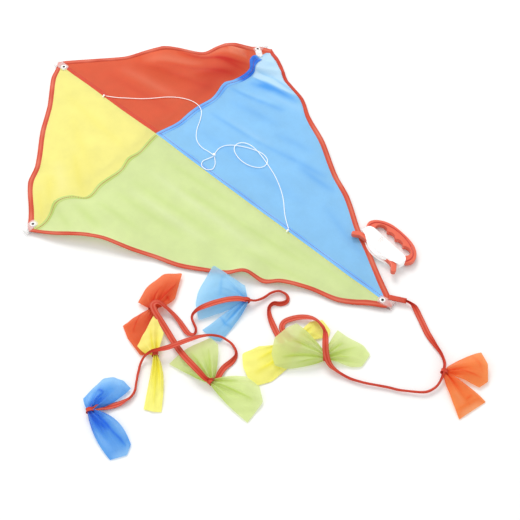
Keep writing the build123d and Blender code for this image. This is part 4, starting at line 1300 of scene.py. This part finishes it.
# Folds across the lobes, and painted bands, by bow and lobe: from (across, out) to (across, out) as shares,
# height in mm (0 where only painted), and their painted shade (below 0 painted light)
LOBE_FOLDS_AND_SHADE = {
    ("bow_1_red", 0): [(0.0, 0.80, 0.55, 0.88, 0.8, 0.45), (0.55, 0.3, 0.7, 0.85, 1.0, 0.6)],
    ("bow_1_red", 1): [
        (0.02, 0.86, 0.98, 0.86, 0.9, 0.4), (0.5, 0.76, 0.8, 0.74, 0.6, 0.6),
        (0.1, 0.97, 0.9, 0.97, 0.0, -0.6), (0.2, 0.5, 0.4, 0.8, 0.0, -0.3),
    ],
    ("bow_2_green", 0): [
        (0.36, 0.05, 0.28, 0.80, 1.8, 0.95), (0.55, 0.05, 0.62, 0.66, 1.4, 0.8),
        (0.2, 0.1, 0.12, 0.6, 1.0, 0.6),
    ],
    ("bow_2_green", 1): [
        (0.30, 0.05, 0.22, 0.72, 1.4, 0.9), (0.62, 0.05, 0.70, 0.58, 1.3, 0.9),
        (0.46, 0.1, 0.44, 0.8, 1.0, 0.6),
    ],
    ("bow_3_yellow", 0): [(0.30, 0.10, 0.36, 0.72, 1.4, 0.8), (0.58, 0.2, 0.50, 0.85, 1.2, 0.7)],
    ("bow_4_blue", 0): [(0.3, 0.55, 0.6, 0.72, 0.7, 0.5), (0.5, 0.15, 0.42, 0.6, 1.0, 0.4)],
    ("bow_4_blue", 1): [
        (0.02, 0.66, 0.98, 0.66, 0.8, 0.9), (0.5, 0.05, 0.55, 0.6, 1.0, 0.9),
        (0.2, 0.3, 0.3, 0.6, 0.6, 0.6),
    ],
    ("bow_5_red", 0): [
        (0.62, 0.10, 0.74, 0.80, 1.4, 0.9), (0.30, 0.25, 0.48, 0.60, 1.0, 0.7),
        (0.75, 0.4, 0.95, 0.6, 1.0, 0.7),
    ],
    ("bow_5_red", 1): [(0.05, 0.35, 0.30, 0.80, 1.0, 0.7), (0.62, 0.15, 0.70, 0.70, 1.0, 0.6)],
    ("bow_6_green", 0): [(0.45, 0.05, 0.40, 0.85, 1.6, 0.9), (0.70, 0.05, 0.74, 0.75, 1.2, 0.8)],
    ("bow_6_green", 1): [(0.55, 0.05, 0.60, 0.82, 1.8, 0.95), (0.30, 0.05, 0.22, 0.6, 1.2, 0.7)],
    ("bow_7_yellow", 0): [(0.4, 0.05, 0.45, 0.85, 1.0, 0.6)],
    ("bow_7_yellow", 1): [
        (0.50, 0.02, 0.52, 0.88, 1.2, 0.8), (0.25, 0.05, 0.2, 0.6, 0.9, 0.5),
        (0.76, 0.05, 0.8, 0.7, 0.9, 0.6),
    ],
    ("bow_8_blue", 0): [
        (0.40, 0.08, 0.62, 0.50, 1.8, 1.3), (0.62, 0.52, 0.40, 0.66, 1.6, 1.1),
        (0.50, 0.05, 0.66, 0.38, 1.0, 1.0), (0.1, 0.93, 0.95, 0.93, 0.0, -0.7),
        (0.12, 0.3, 0.2, 0.8, 0.0, -0.5), (0.85, 0.4, 0.9, 0.8, 0.0, -0.3),
    ],
    ("bow_8_blue", 1): [
        (0.36, 0.04, 0.50, 0.52, 1.8, 1.2), (0.60, 0.10, 0.62, 0.60, 1.6, 1.0),
        (0.62, 0.58, 0.74, 0.92, 1.2, 0.9), (0.1, 0.96, 0.9, 0.96, 0.0, -0.8),
        (0.15, 0.4, 0.25, 0.85, 0.0, -0.55), (0.9, 0.3, 0.92, 0.85, 0.0, -0.6),
    ],
}


def pleat_shape(wrinkle, shares, pleats):
    """Where the pleats' edges are across a lobe, how high each place stands on them, and how steep it is."""
    steps = wrinkle.uniform(0.6, 1.4, pleats)
    knots = np.concatenate([[0], np.cumsum(steps) / steps.sum()])
    up_and_down = np.array([1.0 if k % 2 else -1.0 for k in range(pleats + 1)])
    heights = up_and_down * wrinkle.uniform(0.6, 1.2, pleats + 1)
    fold = np.interp(shares, knots, heights)
    fold = np.convolve(np.pad(fold, 1, mode="edge"), np.ones(3) / 3, mode="valid")
    slope = np.abs(np.gradient(fold, shares))
    return knots, fold, slope / slope.max()


def lobe_crumples(wrinkle):
    """Fine waves over a lobe: the direction, length and phase of each."""
    crumples = []
    for _ in range(LOBE_CRUMPLES):
        direction = unit(wrinkle.normal(0, 1, 2))
        crumples.append((direction, wrinkle.uniform(14, 40), wrinkle.uniform(0, 6.28)))
    return crumples


def lobe(neck, neck_width, left, far, right, pleats, depth, puff, seed, extra):
    """One half of a gathered bow, in rows of points from its tied neck outwards to its cut edge."""
    wrinkle = np.random.default_rng(seed)
    shares = np.linspace(0, 1, LOBE_COLUMNS)
    edge = along_polyline(far, shares)
    neck, left, right = (np.array(p, float) for p in (neck, left, right))
    out = edge.mean(0) - neck
    across = unit(np.array([out[1], -out[0], 0.0]))
    if across @ (edge[-1] - edge[0]) < 0:
        across = -across
    column = shares[:, None]
    start = neck + across * neck_width * (column - 0.5)
    # Side places bend the lobe's two edges; inner lines bend less
    bend_left = left - (start[0] + edge[0]) / 2
    bend_right = right - (start[-1] + edge[-1]) / 2
    middle = (start + edge) / 2 + bend_left * (1 - column) ** 1.5 + bend_right * column**1.5
    knots, fold, slope = pleat_shape(wrinkle, shares, pleats)
    crumples = lobe_crumples(wrinkle)
    rows, painted_shading = [], []
    pleat_reach = np.interp(shares, knots, wrinkle.uniform(0.6, 1.15, pleats + 1))
    size = np.array([max(20.0, np.linalg.norm(edge[-1] - edge[0])), np.linalg.norm(out)])
    for i in range(LOBE_ROWS):
        r = i / (LOBE_ROWS - 1)
        place = start * (1 - r) ** 2 + middle * 2 * r * (1 - r) + edge * r**2
        reach = np.clip(1.15 - r / pleat_reach, 0.12, 1.0)
        swell = 0.6 + 0.4 * math.sin(math.pi * min(1.0, r * 1.4))
        place[:, 2] += PLEAT_HEIGHT * depth * fold * reach * swell
        # Painted shade on the pleats' slopes and in their valleys, deeper towards the neck
        shade = 0.9 * reach * slope * (1.1 - r) + 0.85 * np.clip(-fold, 0, 1) * reach * (1.2 - r)
        here = np.column_stack([shares, np.full(LOBE_COLUMNS, r)]) * size
        # The listed folds raise the cloth and add painted shade, or painted light where the amount is below 0
        for s0, r0, s1, r1, height, amount in extra:
            width = FOLD_WIDTH if amount > 0 else PALE_WIDTH
            crossing = ridge(here, s0 * size[0], r0 * size[1], s1 * size[0], r1 * size[1], 1.0, width)
            place[:, 2] += height * crossing
            shade += amount * crossing
        painted_shading.append(np.clip(shade, -0.8, 1))
        place[:, 2] += puff * math.sin(math.pi * r**0.8) * np.sin(math.pi * shares) ** 0.7
        for direction, length, phase in crumples:
            swing = np.sin(6.28 * (place[:, :2] @ direction) / length + phase)
            place[:, 2] += LOBE_CRUMPLE_HEIGHT * min(1.0, 3 * r) * swing
        place[:, 2] = LOBE_LOWEST + np.logaddexp(0, (place[:, 2] - LOBE_LOWEST) / LOBE_CONTACT) * LOBE_CONTACT
        rows.append(place)
    return np.concatenate(rows), np.concatenate(painted_shading)


def neck_wrap(name, neck, out_one, out_two, width):
    """The ribbon's turn round a bow's neck: a flattened, slightly twisted band."""
    neck = np.array(neck, float)
    through = np.array(out_one, float) - np.array(out_two, float)
    through[2] *= 0.3
    through = unit(through)
    across = unit(np.cross([0, 0, 1.0], through))
    over = np.cross(through, across)
    half_across, half_over = width / 2 + WRAP_CLEAR, min(width / 2, neck[2] - 0.6, WRAP_TALLEST)
    points, painted_shading = [], []
    for turn in turns(WRAP_STEPS):
        for j, share in enumerate(side_to_side(WRAP_COLUMNS)):
            pinch = 1.0 + 0.16 * share**2 + 0.06 * math.sin(3 * turn + j)
            centre = through * (share * 3.0 + 0.7 * math.sin(turn))
            ring = across * half_across * math.cos(turn) + over * half_over * math.sin(turn)
            point = neck + centre + pinch * ring
            point[2] = max(point[2], WRAP_LOWEST)
            points.append(point)
            # Painted shade round the tie, deeper at its two edges
            painted_shading.append(0.35 + 0.3 * math.sin(2 * turn + j) + 0.2 * (j in (0, WRAP_COLUMNS - 1)))
    faces = [(a, d, c, b) for a, b, c, d in grid_faces(WRAP_STEPS, WRAP_COLUMNS, looped=True)]
    band = paint_shade_and_light(mesh_piece(name + "_tie", points, faces, RIBBON_CLOTH), painted_shading)
    return thick(band, WRAP_THICK)


tail_pieces = [anchor]
for number, (name, (neck, neck_width, lobes)) in enumerate(BOWS.items()):
    colour = name.split("_")[-1]
    points, faces, painted_shading = [], [], []
    for k, (left, far, right, pleats, depth, puff) in enumerate(lobes):
        extra = LOBE_FOLDS_AND_SHADE.get((name, k), ())
        seed = 100 + 10 * number + k
        grid, folded = lobe(neck, neck_width, left, far, right, pleats, depth, puff, seed, extra)
        faces += grid_faces(LOBE_ROWS, LOBE_COLUMNS, len(points))
        points += list(grid)
        painted_shading += list(folded)
    material = PALE_BOWS.get(name, BOW_CLOTH[colour])
    bow = paint_shade_and_light(mesh_piece(name + "_cloth", points, faces, material), painted_shading)
    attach(bow, "kite")
    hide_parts(name)
    far_one, far_two = (np.array(one[1], float).mean(0) for one in lobes)
    tie = neck_wrap(name, neck, far_one, far_two, neck_width)
    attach(tie, "kite")
    tail_pieces += [bow, tie]

# ---------------------------------------------------------------- flying line on the winder

WINDER_AT = np.array([66.0, -464.0, 11.7])
WINDER_TURN, WINDER_TILT = math.radians(8.6), math.radians(7.0)
WINDER_ALONG = np.array([-math.sin(WINDER_TURN), -math.cos(WINDER_TURN), 0.0])
WINDER_OUT = np.array([
    math.cos(WINDER_TURN) * math.cos(WINDER_TILT), -math.sin(WINDER_TURN) * math.cos(WINDER_TILT),
    -math.sin(WINDER_TILT),
])
WINDER_UP = np.cross(WINDER_ALONG, WINDER_OUT)
LINE_RADIUS = 0.4
# Layers of line, strands in each layer, and strands stacked in each slot at the ends
LAYERS = 3
STRANDS = 30
STACK = 3
END_PITCH = 1.05
STACK_PITCH = 0.88
FACE_HALF = 34
FACE_PLACES = (-FACE_HALF, -18, 0, 18, FACE_HALF)
# Where each layer's first and last strands cross the left and right ends of the winder's faces
FACE_SPREAD = [((5.0, 26.0), (5.0, 25.0)), ((6.0, 27.0), (4.0, 24.5)), ((4.0, 25.0), (6.0, 27.0))]
# How far the slackest strand bows towards the horned bar
FACE_SLACK = 13.0
BAR_EDGE = -2.3
CORNER_U, CORNER_W = 37.5, 2.6
# The first strand's slot, its turn's reach past the winder's middle, and each layer's height on the faces
FIRST_SLOT, END_REACH, FACE_HEIGHT, LAYER_RISE = 8.3, 39.7, 4.85, 0.9


def on_winder(points):
    """Places in the winder's own directions (along, out, up) as places over the floor."""
    return [WINDER_AT + WINDER_ALONG * u + WINDER_OUT * v + WINDER_UP * w for u, v, w in points]


def strand_place(layer, strand):
    """A strand's slot and depth at the winder's ends, where it crosses both ends of a face, and its slack."""
    order = strand if layer % 2 == 0 else STRANDS - 1 - strand
    end_v = FIRST_SLOT + END_PITCH * (order // STACK)
    depth = (STACK * layer + order % STACK) * STACK_PITCH
    share = (order / (STRANDS - 1)) ** 1.35
    left, right = (low + (high - low) * share for low, high in FACE_SPREAD[layer])
    return end_v, depth, left, right, FACE_HEIGHT + LAYER_RISE * layer, FACE_SLACK * (1 - share) ** 1.3


def across_face(u, left, right, slack):
    """Where a strand lies between its two ends on a face: it bows towards the horned bar."""
    return left + (right - left) * (u + FACE_HALF) / (2 * FACE_HALF) - slack * (1 - (u / FACE_HALF) ** 2)


def drop_past_bar(v, w):
    """How high a slack strand lies: past the horned bar's edge it sinks beside the bar."""
    return w - min(6.5, 2.6 * max(0.0, BAR_EDGE - v))


def end_points(side, place, rising):
    """Control points round one end of the winder; rising runs from its under face to its top face."""
    end_v, depth, left, right, face_w, _ = place
    face_v = right if side > 0 else left
    end_radius, face_radius = END_REACH + depth - CORNER_U, face_w - CORNER_W
    points = []
    for degrees in (30, 62, 90, None, 90, 62, 30):
        if degrees is None:
            points.append((side * (CORNER_U + end_radius), end_v, 0.0))
            continue
        turn = math.radians(degrees)
        radius = face_radius * math.cos(turn) ** 2 + end_radius * math.sin(turn) ** 2
        v = end_v + (face_v - end_v) * math.cos(turn)
        top = 1 if len(points) < 3 else -1
        height = top * (CORNER_W + radius * math.cos(turn))
        points.append((side * (CORNER_U + radius * math.sin(turn)), v, height))
    return points[::-1] if rising else points


def coil_points():
    """Every turn of the flying line round the winder's two struts, as (u, v, w) in millimetres."""
    places = [strand_place(layer, strand) for layer in range(LAYERS) for strand in range(STRANDS)]
    points = end_points(-1, places[0], True)[3:]
    for place, following in zip(places, places[1:] + [None]):
        _, _, left, right, face_w, slack = place
        for u in FACE_PLACES:
            v = across_face(u, left, right, slack) + RNG.uniform(-0.05, 0.05)
            points.append((u, v, drop_past_bar(v, face_w + RNG.uniform(0, 0.12))))
        points += end_points(1, place, False)
        if following is None:
            break
        for u in reversed(FACE_PLACES):
            points.append((u, across_face(u, following[2], right, slack), -face_w))
        points += end_points(-1, following, True)
    return points


winding = route_curve("flying_line", on_winder(coil_points()), LINE_RADIUS, STRING)
winding.data.splines[0].resolution_u = 3
winding.data.bevel_resolution = 2
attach(winding, "winder")
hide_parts("flying_line_winding")
wound = line_of(winding)

ARCH_HALF, ARCH_TOP = 53, 61.5
ARCH = [(-46, 19), (-ARCH_HALF, 35), (-39, 53), (0, ARCH_TOP), (39, 53), (ARCH_HALF, 35), (46, 19)]
RIM_INSET, RIM_HEIGHT, RIM_RADIUS = 2.0, 4.0, 1.15


def arch_rim():
    """The raised bead along the grip's outer edge, in a darker red: painted shade for the grip's shaded side
    face.
    """
    bead = [(u * (1 - RIM_INSET / ARCH_HALF), v - RIM_INSET * v / ARCH_TOP, RIM_HEIGHT) for u, v in ARCH]
    rim = route_curve("winder_rim_shade", on_winder(bead), RIM_RADIUS, WINDER_RIM_SHADE)
    rim.data.splines[0].order_u = 4
    return rim


rim = arch_rim()
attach(rim, "winder")
